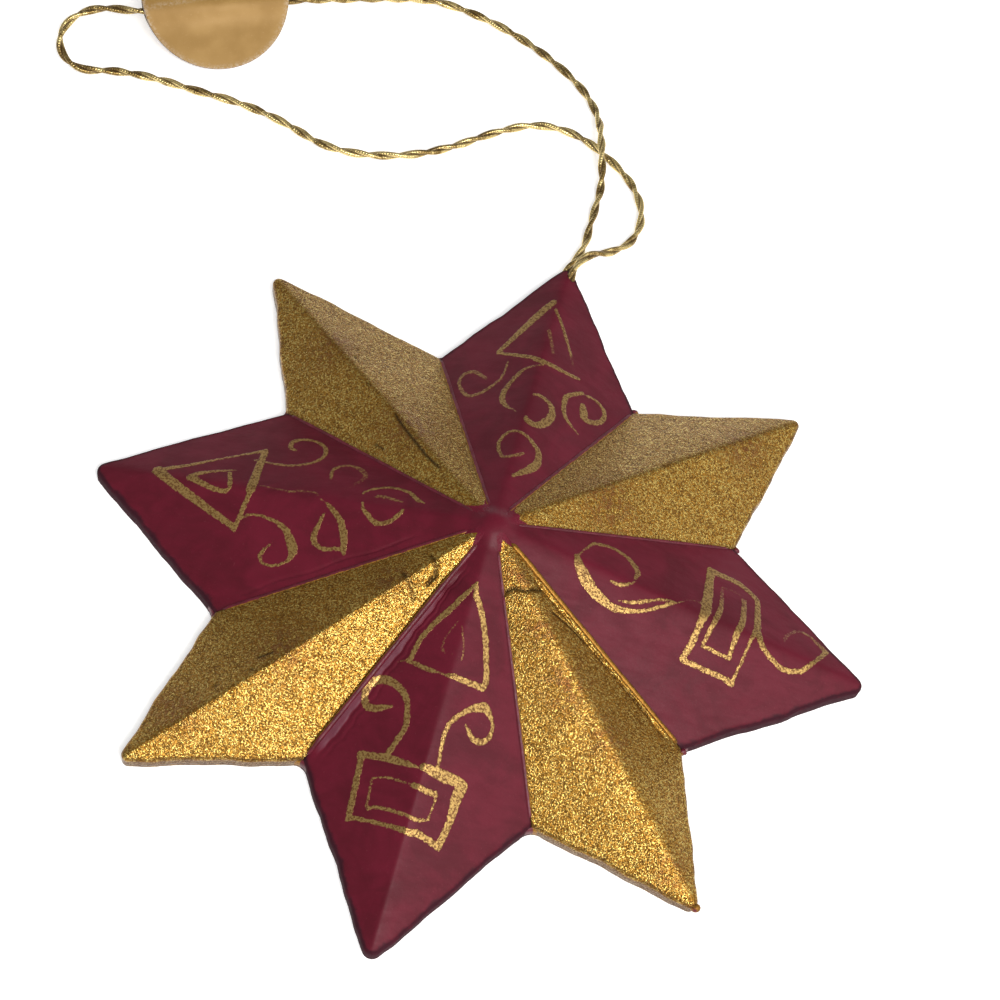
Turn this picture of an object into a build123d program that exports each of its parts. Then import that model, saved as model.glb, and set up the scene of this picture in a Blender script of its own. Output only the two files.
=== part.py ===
# Eight-pointed folded tin star ornament, painted maroon and gold, with its hanging cord and paper label.
# Millimetres. The star lies on its back plate: +Z is up, +Y runs to the point that carries the cord,
# and the origin is on the table under the middle of the star.
from build123d import *
import math
import os

# Star, seen from the front
tip_radius = 45.0
notch_radius = 29.8
maroon_half_angle = 25.3
point_spacing = 45.0
top_point_angle = 90.0

# Gold points, in turn from the upper right one, clockwise: their reach as a share of the maroon
# points' reach, and how far each leans towards the point before it, in degrees
gold_reach_shares = [1.01, 0.975, 0.99, 1.03]
gold_leans = [0.4, 1.0, 1.2, 2.0]

# Notches, in turn from the one right of the top point, clockwise: their distance from the middle as
# a share of the notch radius, and how far each is turned counterclockwise, in degrees
notch_reach_shares = [1.0, 1.02, 1.0, 1.0, 0.995, 1.005, 1.015, 0.99]
notch_turns = [0.8, -0.6, -1.8, -0.2, 0.2, 0.9, -1.8, -1.6]

# Heights above the table
star_height = 15.0
rim_height = 1.8

# Sheet, folds and corners
sheet = 0.4
plate_thickness = 0.4
ridge_bend = 1.5
rim_bend = 0.6
maroon_tip_round = 1.1
gold_tip_round = 0.8
outline_margin = 4.0

# Solder, under the paint
hub_radius = 2.0
hub_depth = 1.2
hub_crown = 0.7
solder_fit = 0.03
cove_depth = 0.39
bead_radius = 0.3
bead_radius_shares = [1.0, 0.9, 1.5, 1.1, 1.6, 1.1, 0.9, 0.9]
nub_diameter = 1.0
nub_height = 1.25
nub_notches = [0, 1, 2]
tip_bead_diameter = 1.0
tip_bead_point = "gold_point_lower_right"

# Cord, one loop with both ends knotted inside the top point
cord_diameter = 1.1
mouth_clearance = 0.05
knot_diameter = 2.6
knot_length = 2.4
knot_round = 1.0
knot_height = 1.75

# Paper label, two round stickers back to back on the cord
label_diameter = 19.0
label_paper = 0.15
label_tilt = 30.0
label_turn = 27.3
label_hang = 1.3
label_clearance = 0.12

# The cord's route, points chosen by hand, from the knot out of the mouth, round the loop and back.
# Y is measured outwards from the end of the top point, and the label hangs at one of them.
label_point = (-53.45, 23.48, 4.27)
cord_points = [
    (-0.62, -6.70, 1.05),
    (-0.62, -2.90, 1.05),
    (-0.05, 0.90, 0.98),
    (1.20, 4.40, 0.60),
    (1.10, 9.60, 0.56),
    (1.20, 15.20, 0.56),
    (0.20, 18.40, 2.00),
    (-0.80, 22.40, 2.00),
    (-1.90, 26.60, 0.62),
    (-4.80, 30.40, 0.56),
    (-10.60, 34.20, 0.56),
    (-18.20, 37.30, 0.56),
    (-26.90, 38.60, 0.56),
    (-33.20, 35.80, 1.30),
    (-38.60, 31.80, 3.00),
    (-44.40, 28.20, 4.20),
    label_point,
    (-62.30, 18.95, 4.20),
    (-66.60, 18.50, 4.00),
    (-69.90, 16.80, 3.30),
    (-71.30, 13.90, 2.30),
    (-70.20, 11.10, 1.30),
    (-67.20, 10.00, 0.70),
    (-63.40, 11.60, 0.56),
    (-58.40, 12.30, 0.56),
    (-52.40, 12.10, 0.56),
    (-46.60, 12.20, 0.56),
    (-40.40, 11.20, 0.56),
    (-33.80, 8.80, 0.56),
    (-26.20, 10.20, 0.56),
    (-19.60, 13.90, 0.56),
    (-14.20, 19.10, 0.56),
    (-9.20, 22.50, 0.56),
    (-3.80, 22.60, 0.56),
    (1.20, 20.00, 0.56),
    (5.20, 16.80, 0.56),
    (7.40, 12.40, 0.56),
    (7.00, 7.90, 0.60),
    (4.60, 5.00, 0.90),
    (1.80, 3.00, 1.90),
    (0.60, 0.20, 2.14),
    (0.62, -2.90, 1.15),
    (0.62, -6.70, 1.15),
]
corner_share = 0.45

rim_drop = star_height - rim_height
gold_half_angle = point_spacing - maroon_half_angle
cord_radius = cord_diameter / 2
label_radius = label_diameter / 2
apex = Vector(0, 0, star_height)
cord_route = [(x, tip_radius + y, z) for x, y, z in cord_points]


def at_angle(radius, degrees, height=0.0):
    """Point at that distance from the star's axis and that angle from +X."""
    turn = math.radians(degrees)
    return Vector(radius * math.cos(turn), radius * math.sin(turn), height)


def sharp_reach(reach, half_angle, tip_round):
    """Distance of the tip's sharp corner, so that its round ends at the reach."""
    arc_middle = reach - tip_round
    across = notch_radius * math.sin(math.radians(half_angle))
    along = arc_middle - notch_radius * math.cos(math.radians(half_angle))
    wall_angle = math.atan2(across, along) - math.asin(tip_round / math.hypot(across, along))
    return arc_middle + tip_round / math.sin(wall_angle)


# Notches, and the points between them, clockwise from the top point
notch_angles = []
for quarter in range(4):
    middle = top_point_angle - 2 * point_spacing * quarter
    notch_angles.append(middle - maroon_half_angle)
    notch_angles.append(middle - 2 * point_spacing + maroon_half_angle)

point_names = [
    "maroon_point_top",
    "gold_point_upper_right",
    "maroon_point_right",
    "gold_point_lower_right",
    "maroon_point_bottom",
    "gold_point_lower_left",
    "maroon_point_left",
    "gold_point_upper_left",
]
tips = []
tip_rounds = []
for number, point_name in enumerate(point_names):
    axis_angle = top_point_angle - point_spacing * number
    if number % 2:
        reach = tip_radius * gold_reach_shares[number // 2]
        reach = sharp_reach(reach, gold_half_angle, gold_tip_round)
        tips.append(at_angle(reach, axis_angle + gold_leans[number // 2], rim_height))
        tip_rounds.append(gold_tip_round)
    else:
        reach = sharp_reach(tip_radius, maroon_half_angle, maroon_tip_round)
        tips.append(at_angle(reach, axis_angle, rim_height))
        tip_rounds.append(maroon_tip_round)
notches = []
for share, angle, turn in zip(notch_reach_shares, notch_angles, notch_turns):
    notches.append(at_angle(notch_radius * share, angle + turn, rim_height))


def facet_plane(tip, notch):
    """Plane of the flat facet between a ridge and a valley, facing up."""
    normal = (tip - apex).cross(notch - apex).normalized()
    if normal.Z < 0:
        normal = -normal
    return Plane(origin=apex, x_dir=tip - apex, z_dir=normal)


def valley_plane(notch, inside):
    """Upright plane through the star's axis and a notch, facing away from the inside."""
    across = Vector(notch.Y, -notch.X, 0).normalized()
    if across.dot(inside) > 0:
        across = -across
    return Plane(origin=(0, 0, 0), x_dir=Vector(notch.X, notch.Y, 0), z_dir=across)


def point_form(number, inset):
    """Solid under one point's facets and between its upright walls, drawn in from outside by inset.
    The rim is bent round outside, and is sharp inside the fold."""
    tip = tips[number]
    sides = (notches[number], notches[number - 1])
    axis = Vector(tip.X, tip.Y, 0)
    corners = [tip]
    for notch in sides:
        along = (tip - notch).dot(axis.normalized())
        corners.append(tip + (notch - tip) * ((axis.length + outline_margin) / along))
    with BuildPart() as form:
        with BuildSketch(Plane.XY.offset(plate_thickness)) as outline:
            with BuildLine():
                Polyline(*[(corner.X, corner.Y) for corner in corners], close=True)
            make_face()
            if inset:
                offset(amount=-inset, kind=Kind.INTERSECTION)
            fillet(outline.vertices().sort_by_distance(tip)[0], tip_rounds[number] - inset)
        extrude(amount=2 * star_height)
        for notch in sides:
            split(bisect_by=facet_plane(tip, notch).offset(-inset), keep=Keep.BOTTOM)
        fillet(form.edges().sort_by_distance((apex + tip) / 2)[0], ridge_bend - inset)
        if not inset:
            wall_middle = (rim_height - plate_thickness) / 2
            rim_edges = form.edges().filter_by(Axis.Z, reverse=True)
            rim_edges = rim_edges.filter_by(lambda edge: abs(edge.center().Z - rim_height) < wall_middle)
            fillet(rim_edges, rim_bend)
    return form.part


def folded_point(number):
    """One point of sheet: facets folded at the ridge, walls turned down at the rim, open below."""
    with BuildPart() as point:
        add(point_form(number, 0))
        add(point_form(number, sheet), mode=Mode.SUBTRACT)
        for notch in (notches[number], notches[number - 1]):
            split(bisect_by=valley_plane(notch, tips[number]), keep=Keep.BOTTOM)
        with BuildSketch():
            Circle(hub_radius)
        extrude(amount=star_height, mode=Mode.SUBTRACT)
    return point.part


def valley_bead(number):
    """Bead of solder lying in the valley between a point and the next one, clockwise."""
    valley = notches[number] - apex
    start = apex + valley * ((hub_radius + bead_radius) / notch_radius)
    end = apex + valley * (1 - rim_bend / notch_radius)
    with BuildPart() as bead:
        with BuildSketch(Plane(origin=start, z_dir=valley)):
            Circle(bead_radius * bead_radius_shares[number])
        extrude(amount=(end - start).length)
        for tip in (tips[number], tips[(number + 1) % len(tips)]):
            split(bisect_by=facet_plane(tip, notches[number]), keep=Keep.TOP)
    return bead.part


def notch_corner(number):
    """Directions of the two walls at a notch, half the angle between them, and the cove's radius."""
    notch = Vector(notches[number].X, notches[number].Y, 0)
    walls = []
    for tip in (tips[number], tips[(number + 1) % len(tips)]):
        walls.append((Vector(tip.X, tip.Y, 0) - notch).normalized())
    half_corner = math.radians(walls[0].get_angle(walls[1])) / 2
    return walls, half_corner, cove_depth / (1 / math.sin(half_corner) - 1)


def notch_cove(number):
    """Solder that rounds the inner corner between two points' walls, with a nub on some."""
    notch = Vector(notches[number].X, notches[number].Y, 0)
    walls, half_corner, cove_radius = notch_corner(number)
    outward = (walls[0] + walls[1]).normalized()
    reach = cove_radius / math.tan(half_corner)
    centre = notch + outward * (cove_radius / math.sin(half_corner))
    with BuildPart() as cove:
        with BuildSketch(Plane.XY.offset(plate_thickness)):
            with BuildLine():
                Line(notch + walls[1] * reach, notch)
                Line(notch, notch + walls[0] * reach)
                ThreePointArc(
                    notch + walls[0] * reach, centre - outward * cove_radius, notch + walls[1] * reach
                )
            make_face()
        extrude(amount=rim_height - rim_bend / 2 - plate_thickness)
        if number in nub_notches:
            nub_radius = nub_diameter / 2
            with Locations(notch + outward * (nub_radius / math.sin(half_corner)) + Vector(0, 0, nub_height)):
                Sphere(nub_radius)
    return cove.part


os.makedirs("parts", exist_ok=True)

# Folded points, the top one with a mouth worn open by the two ends of the cord
for number, point_name in enumerate(point_names):
    with BuildPart() as star_point:
        add(folded_point(number))
        if number == 0:
            for ends in (cord_route[1:4], cord_route[-2:-5:-1]):
                for start, end in zip(ends, ends[1:]):
                    leg = Vector(end) - Vector(start)
                    with BuildSketch(Plane(origin=start, z_dir=leg)):
                        Circle(cord_radius + mouth_clearance)
                    extrude(amount=leg.length, mode=Mode.SUBTRACT)
                with Locations(*ends[:-1]):
                    Sphere(cord_radius + mouth_clearance, mode=Mode.SUBTRACT)
    star_point.part.label = point_name
    export_step(star_point.part, f"parts/{point_name}.step")

# Flat star under the points, which the walls stand on and are soldered to
with BuildPart() as back_plate:
    with BuildSketch() as plate_outline:
        with BuildLine():
            rim = []
            for number, tip in enumerate(tips):
                rim.append((tip.X, tip.Y))
                rim.append((notches[number].X, notches[number].Y))
            Polyline(*rim, close=True)
        make_face()
        for number, tip in enumerate(tips):
            fillet(plate_outline.vertices().sort_by_distance((tip.X, tip.Y))[0], tip_rounds[number])
        for number, notch in enumerate(notches):
            cove_radius = notch_corner(number)[2]
            fillet(plate_outline.vertices().sort_by_distance((notch.X, notch.Y))[0], cove_radius)
    extrude(amount=plate_thickness)
back_plate.part.label = "back_plate"
export_step(back_plate.part, "parts/back_plate.step")

# Solder along the eight valleys, one bead each
with BuildPart() as valley_solder:
    for number in range(len(notches)):
        add(valley_bead(number))
valley_solder.part.label = "valley_solder"
export_step(valley_solder.part, "parts/valley_solder.step")

# Solder in the eight notches of the rim
with BuildPart() as notch_solder:
    for number in range(len(notches)):
        add(notch_cove(number))
notch_solder.part.label = "notch_solder"
export_step(notch_solder.part, "parts/notch_solder.step")

# Bead of solder on the end of the lower right gold point
with BuildPart() as tip_solder:
    number = point_names.index(tip_bead_point)
    bead_tip = Vector(tips[number].X, tips[number].Y, 0)
    bead_reach = tip_radius * gold_reach_shares[number // 2]
    with Locations(bead_tip.normalized() * bead_reach + Vector(0, 0, nub_height)):
        Sphere(tip_bead_diameter / 2)
    add(point_form(number, 0), mode=Mode.SUBTRACT)
tip_solder.part.label = "tip_solder"
export_step(tip_solder.part, "parts/tip_solder.step")

# Plug of solder that closes the middle, with a low crown
with BuildPart() as apex_solder:
    plug_radius = hub_radius - solder_fit
    crown_edge = star_height - hub_crown
    with BuildSketch(Plane.XZ):
        with BuildLine():
            Polyline(
                (0, star_height),
                (0, crown_edge - hub_depth),
                (plug_radius, crown_edge - hub_depth),
                (plug_radius, crown_edge),
            )
            TangentArc((0, star_height), (plug_radius, crown_edge), tangent=(1, 0))
        make_face()
    revolve(axis=Axis.Z)
apex_solder.part.label = "apex_solder"
export_step(apex_solder.part, "parts/apex_solder.step")

# Knot that holds both ends of the cord behind the mouth
with BuildPart() as cord_knot:
    with BuildSketch(Plane(origin=(0, cord_route[0][1], knot_height), z_dir=(0, -1, 0))):
        Circle(knot_diameter / 2)
    extrude(amount=knot_length)
    fillet(cord_knot.faces().sort_by(Axis.Y)[0].edges(), knot_round)
cord_knot.part.label = "cord_knot"
export_step(cord_knot.part, "parts/cord_knot.step")

# Hanging cord, straight runs joined by tangent arcs
corner_radii = []
for before, corner, after in zip(cord_route, cord_route[1:], cord_route[2:]):
    run_in = Vector(corner) - Vector(before)
    run_out = Vector(after) - Vector(corner)
    half_turn = math.radians(run_in.get_angle(run_out)) / 2
    corner_radii.append(corner_share * min(run_in.length, run_out.length) / math.tan(half_turn))
with BuildPart() as hanging_cord:
    with BuildLine() as cord_path:
        FilletPolyline(*cord_route, radius=corner_radii)
    with BuildSketch(Plane(origin=cord_route[0], z_dir=cord_path.line % 0)):
        Circle(cord_radius)
    sweep(path=cord_path.line)
hanging_cord.part.label = "hanging_cord"
export_step(hanging_cord.part, "parts/hanging_cord.step")

# Paper label, folded over the cord, seen face up from the near side
turn = math.radians(label_turn)
tilt = math.radians(label_tilt)
label_across = Vector(-math.sin(turn) * math.cos(tilt), math.cos(turn) * math.cos(tilt), math.sin(tilt))
label_hold = Vector(cord_route[cord_points.index(label_point)])
label_middle = label_hold + label_across * label_hang
label_plane = Plane(
    origin=label_middle,
    x_dir=(math.cos(turn), math.sin(turn), 0),
    z_dir=Vector(math.cos(turn), math.sin(turn), 0).cross(label_across),
)
fold_radius = cord_radius + label_clearance
with BuildPart() as label_front:
    with BuildSketch(Plane(origin=label_plane.origin, x_dir=label_plane.y_dir, z_dir=label_plane.x_dir)):
        with Locations((0, label_paper / 2)):
            Rectangle(label_diameter, label_paper)
        with Locations((-label_hang, 0)):
            Circle(fold_radius + label_paper)
            Circle(fold_radius, mode=Mode.SUBTRACT)
        with Locations((0, -label_radius / 2)):
            Rectangle(label_diameter, label_radius, mode=Mode.SUBTRACT)
    extrude(amount=label_radius, both=True)
    with BuildSketch(label_plane):
        Circle(label_radius)
    extrude(amount=fold_radius * 2, mode=Mode.INTERSECT)
label_front.part.label = "label_front"
export_step(label_front.part, "parts/label_front.step")

with BuildPart() as label_back:
    add(mirror(label_front.part, about=label_plane))
label_back.part.label = "label_back"
export_step(label_back.part, "parts/label_back.step")

cord_length = sum(edge.length for edge in cord_path.edges())
print("corner radii", [round(radius, 1) for radius in corner_radii])
print("cord length", round(cord_length, 1))
tube_volume = math.pi * cord_radius**2 * cord_length
print("cord volume", round(hanging_cord.part.volume, 2), "section times length", round(tube_volume, 2))
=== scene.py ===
"""Folded tin star ornament: eight painted points, gold brushwork, a twisted hanging cord and a paper label.

The star lies on its back at the origin, with +Z up and +Y towards the point that carries the cord.
Lengths in the tables below are millimetres; the meshes are made in metres, in the frame of the CAD part.
"""

import functools
import math

import bmesh
import bpy
import numpy as np
from bpy.props import FloatProperty, FloatVectorProperty, IntProperty, PointerProperty
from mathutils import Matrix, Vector


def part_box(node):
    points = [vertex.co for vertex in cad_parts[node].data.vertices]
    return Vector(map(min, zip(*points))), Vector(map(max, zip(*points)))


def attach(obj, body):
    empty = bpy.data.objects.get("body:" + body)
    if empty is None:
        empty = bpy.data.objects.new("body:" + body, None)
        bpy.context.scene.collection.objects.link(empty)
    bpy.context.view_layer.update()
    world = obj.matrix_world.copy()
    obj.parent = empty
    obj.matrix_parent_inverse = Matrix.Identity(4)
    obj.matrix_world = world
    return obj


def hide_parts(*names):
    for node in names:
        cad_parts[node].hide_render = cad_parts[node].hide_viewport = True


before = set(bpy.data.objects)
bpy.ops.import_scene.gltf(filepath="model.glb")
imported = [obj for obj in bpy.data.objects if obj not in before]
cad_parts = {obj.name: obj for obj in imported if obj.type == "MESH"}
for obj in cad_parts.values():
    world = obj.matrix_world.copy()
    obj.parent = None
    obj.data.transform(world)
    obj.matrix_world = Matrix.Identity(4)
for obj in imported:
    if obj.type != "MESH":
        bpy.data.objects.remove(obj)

bl_info = {
    "name": "Folded Tin Star Ornament",
    "version": (1, 0, 0),
    "blender": (4, 5, 0),
    "location": "View3D > Sidebar > Tin Star",
    "description": "Makes a folded, painted tin star with its hanging cord and paper label",
    "category": "Add Mesh",
}

MM = 0.001

# Star, as the part is built. Lengths in millimetres, angles in degrees.
TIP_RADIUS = 45.0
NOTCH_RADIUS = 29.8
MAROON_HALF_ANGLE = 25.3
POINT_SPACING = 45.0
STAR_HEIGHT = 15.0
RIM_HEIGHT = 1.8
PLATE_TOP = 0.4
MAROON_TIP_ROUND = 1.1
GOLD_TIP_ROUND = 0.8
GOLD_REACH_SHARES = (1.01, 0.975, 0.99, 1.03)
GOLD_LEANS = (0.4, 1.0, 1.2, 2.0)
NOTCH_REACH_SHARES = (1.0, 1.02, 1.0, 1.0, 0.995, 1.005, 1.015, 0.99)
NOTCH_TURNS = (0.8, -0.6, -1.8, -0.2, 0.2, 0.9, -1.8, -1.6)
COVE_DEPTH = 0.39
HUB_RADIUS = 0.9

POINT_NAMES = (
    "maroon_point_top", "gold_point_upper_right", "maroon_point_right", "gold_point_lower_right",
    "maroon_point_bottom", "gold_point_lower_left", "maroon_point_left", "gold_point_upper_left")
BOTTOM = POINT_NAMES.index("maroon_point_bottom")

# The photo's camera: lens and sensor in millimetres, its place in metres, its turn in radians
CAMERA_LENS = 69.478
CAMERA_SENSOR = 36.0
CAMERA_PLACE = (0.001257, -0.101065, 0.195737)
CAMERA_TURN = (0.506145, -0.131938, 0.24609)

# Lamps, aimed at the star: name, place and size in metres, the setting with their power, and colour
LAMPS = (
    ("key_softbox", (0.235, -0.315, 0.50), 0.30, "key_watts", (1.0, 0.97, 0.93)),
    ("fill_softbox", (-0.45, 0.10, 0.40), 0.5, "fill_watts", (0.94, 0.96, 1.0)),
    ("side_softbox", (0.47, 0.10, 0.40), 0.5, "side_watts", (1.0, 0.98, 0.95)),
)

# Solder beads in the valleys, clockwise from the one right of the top point: radius of the bead, how far
# it stands over the fold, and the share of its paint that is gold
VALLEY_BEADS = ((0.34, 0.10, 0.0), (0.30, 0.05, 0.0), (0.34, 0.15, 1.0), (0.34, 0.10, 0.0),
                (0.34, 0.14, 0.0), (0.34, 0.10, 0.0), (0.30, 0.06, 0.0), (0.34, 0.10, 0.0))
BEAD_START, BEAD_STOP = 2.6, 0.35

# Solder in the notches: height and share of the way back to the corner at each level, and the nubs' sizes
COVE_LEVELS = ((0.42, 0.0), (0.8, 0.0), (1.15, 0.02), (1.34, 0.10), (1.46, 0.24), (1.52, 0.42))
NOTCH_NUBS = {0: 0.85, 1: 0.8, 2: 0.8}
NUB_RADIUS, NUB_HEIGHT, NUB_FOOT = 0.56, 1.26, 0.70

# The cord's route, the points of the part's own route, from the knot out of the mouth, round and back
CORD_ROUTE = (
    (-0.62, 38.3, 1.05), (-0.62, 42.1, 1.05), (-0.05, 45.9, 0.98), (1.2, 49.4, 0.6), (1.1, 54.6, 0.56),
    (1.2, 60.2, 0.56), (0.2, 63.4, 2.0), (-0.8, 67.4, 2.0), (-1.9, 71.6, 0.62), (-4.8, 75.4, 0.56),
    (-10.6, 79.2, 0.56), (-18.2, 82.3, 0.56), (-26.9, 83.6, 0.56), (-33.2, 80.8, 1.3), (-38.6, 76.8, 3.0),
    (-44.4, 73.2, 4.2), (-53.45, 68.48, 4.27), (-62.3, 63.95, 4.2), (-66.6, 63.5, 4.0), (-69.9, 61.8, 3.3),
    (-71.3, 58.9, 2.3), (-70.2, 56.1, 1.3), (-67.2, 55.0, 0.7), (-63.4, 56.6, 0.56), (-58.4, 57.3, 0.56),
    (-52.4, 57.1, 0.56), (-46.6, 57.2, 0.56), (-40.4, 56.2, 0.56), (-33.8, 53.8, 0.56), (-26.2, 55.2, 0.56),
    (-19.6, 58.9, 0.56), (-14.2, 64.1, 0.56), (-9.2, 67.5, 0.56), (-3.8, 67.6, 0.56), (1.2, 65.0, 0.56),
    (5.2, 61.8, 0.56), (7.4, 57.4, 0.56), (7.0, 52.9, 0.6), (4.6, 50.0, 0.9), (1.8, 48.0, 1.9),
    (0.6, 45.2, 2.14), (0.62, 42.1, 1.15), (0.62, 38.3, 1.15),
)

# The mouth that the cord's two ends have worn, and the room behind it for the knot: y, half its width and
# its top at either end
MOUTH_RADIUS = 0.66
MOUTH_REACH = 47.2
KNOT_ROOM = ((34.6, 2.5, 3.55), (41.2, 1.5, 2.15))
KNOT_ROOM_FLOOR = 0.45

# Label: where the cord holds it, how it is turned and tilted, and how far its middle is from the cord
LABEL_HOLD = CORD_ROUTE[16]
LABEL_TURN = math.radians(27.3)
LABEL_TILT = math.radians(30.0)
LABEL_HANG = 1.3

# Creases, cracks and dents in each point's sheet and paint: x and y along them, half their width, how deep
# they are and how dark the painted shade in them is
MARKS = {
    "gold_point_upper_left": (
        (((-14.15, 12.99), (-12.84, 11.49), (-9.45, 8.04), (-7.64, 6.58)), 0.22, 0.10, 0.9),
        (((-15.37, 9.46), (-14.29, 8.82)), 0.16, 0.06, 0.8),
        (((-21.07, 20.97), (-21.0, 20.9)), 0.25, 0.08, 0.8),
        (((-18.34, 16.92), (-18.3, 16.9)), 0.22, 0.08, 0.8)),
    "gold_point_lower_left": (
        (((-5.60, -4.60), (-4.78, -5.60), (-4.50, -6.60), (-5.10, -7.60)), 0.20, 0.22, 0.95),
        (((-7.90, -7.10), (-6.83, -8.28), (-6.10, -9.20)), 0.22, 0.18, 0.85),
        (((-20.15, -18.84), (-18.84, -18.11)), 0.20, 0.08, 0.9),
        (((-20.43, -20.4), (-20.40, -20.35)), 0.28, 0.08, 0.8),
        (((-23.61, -22.79), (-23.6, -22.7)), 0.25, 0.08, 0.8)),
    "gold_point_lower_right": (
        (((2.75, -6.55), (3.81, -5.59), (5.20, -5.50), (6.77, -4.60)), 0.20, 0.26, 1.0),
        (((15.0, -17.6), (15.78, -17.87), (16.4, -18.3)), 0.9, 0.16, 0.0),
        (((8.60, -6.40), (10.59, -6.85), (14.4, -8.35), (18.22, -10.15), (22.0, -12.0)), 0.15, 0.14, 0.95)),
}

# How soft each ridge is beside the others
RIDGE_SHARE = {3: 1.5, 5: 0.45, 1: 0.8, 7: 0.8}

# Patches where the reddish undercoat shows through the gold: x, y and reach of each
UNDERCOAT = {
    "gold_point_upper_right": ((12.0, 9.0, 4.0), (26.0, 25.0, 3.0)),
    "gold_point_lower_right": (
        (4.2, -4.3, 2.0), (12.13, -13.21, 3.2), (18.0, -17.0, 2.6), (8.0, -9.0, 2.4), (28.0, -28.0, 2.0)),
    "gold_point_lower_left": ((-18.0, -17.5, 3.4), (-9.0, -8.0, 2.2), (-27.0, -26.0, 3.0)),
    "gold_point_upper_left": ((-12.0, 12.0, 4.0), (-24.0, 22.0, 3.2)),
}

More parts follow.
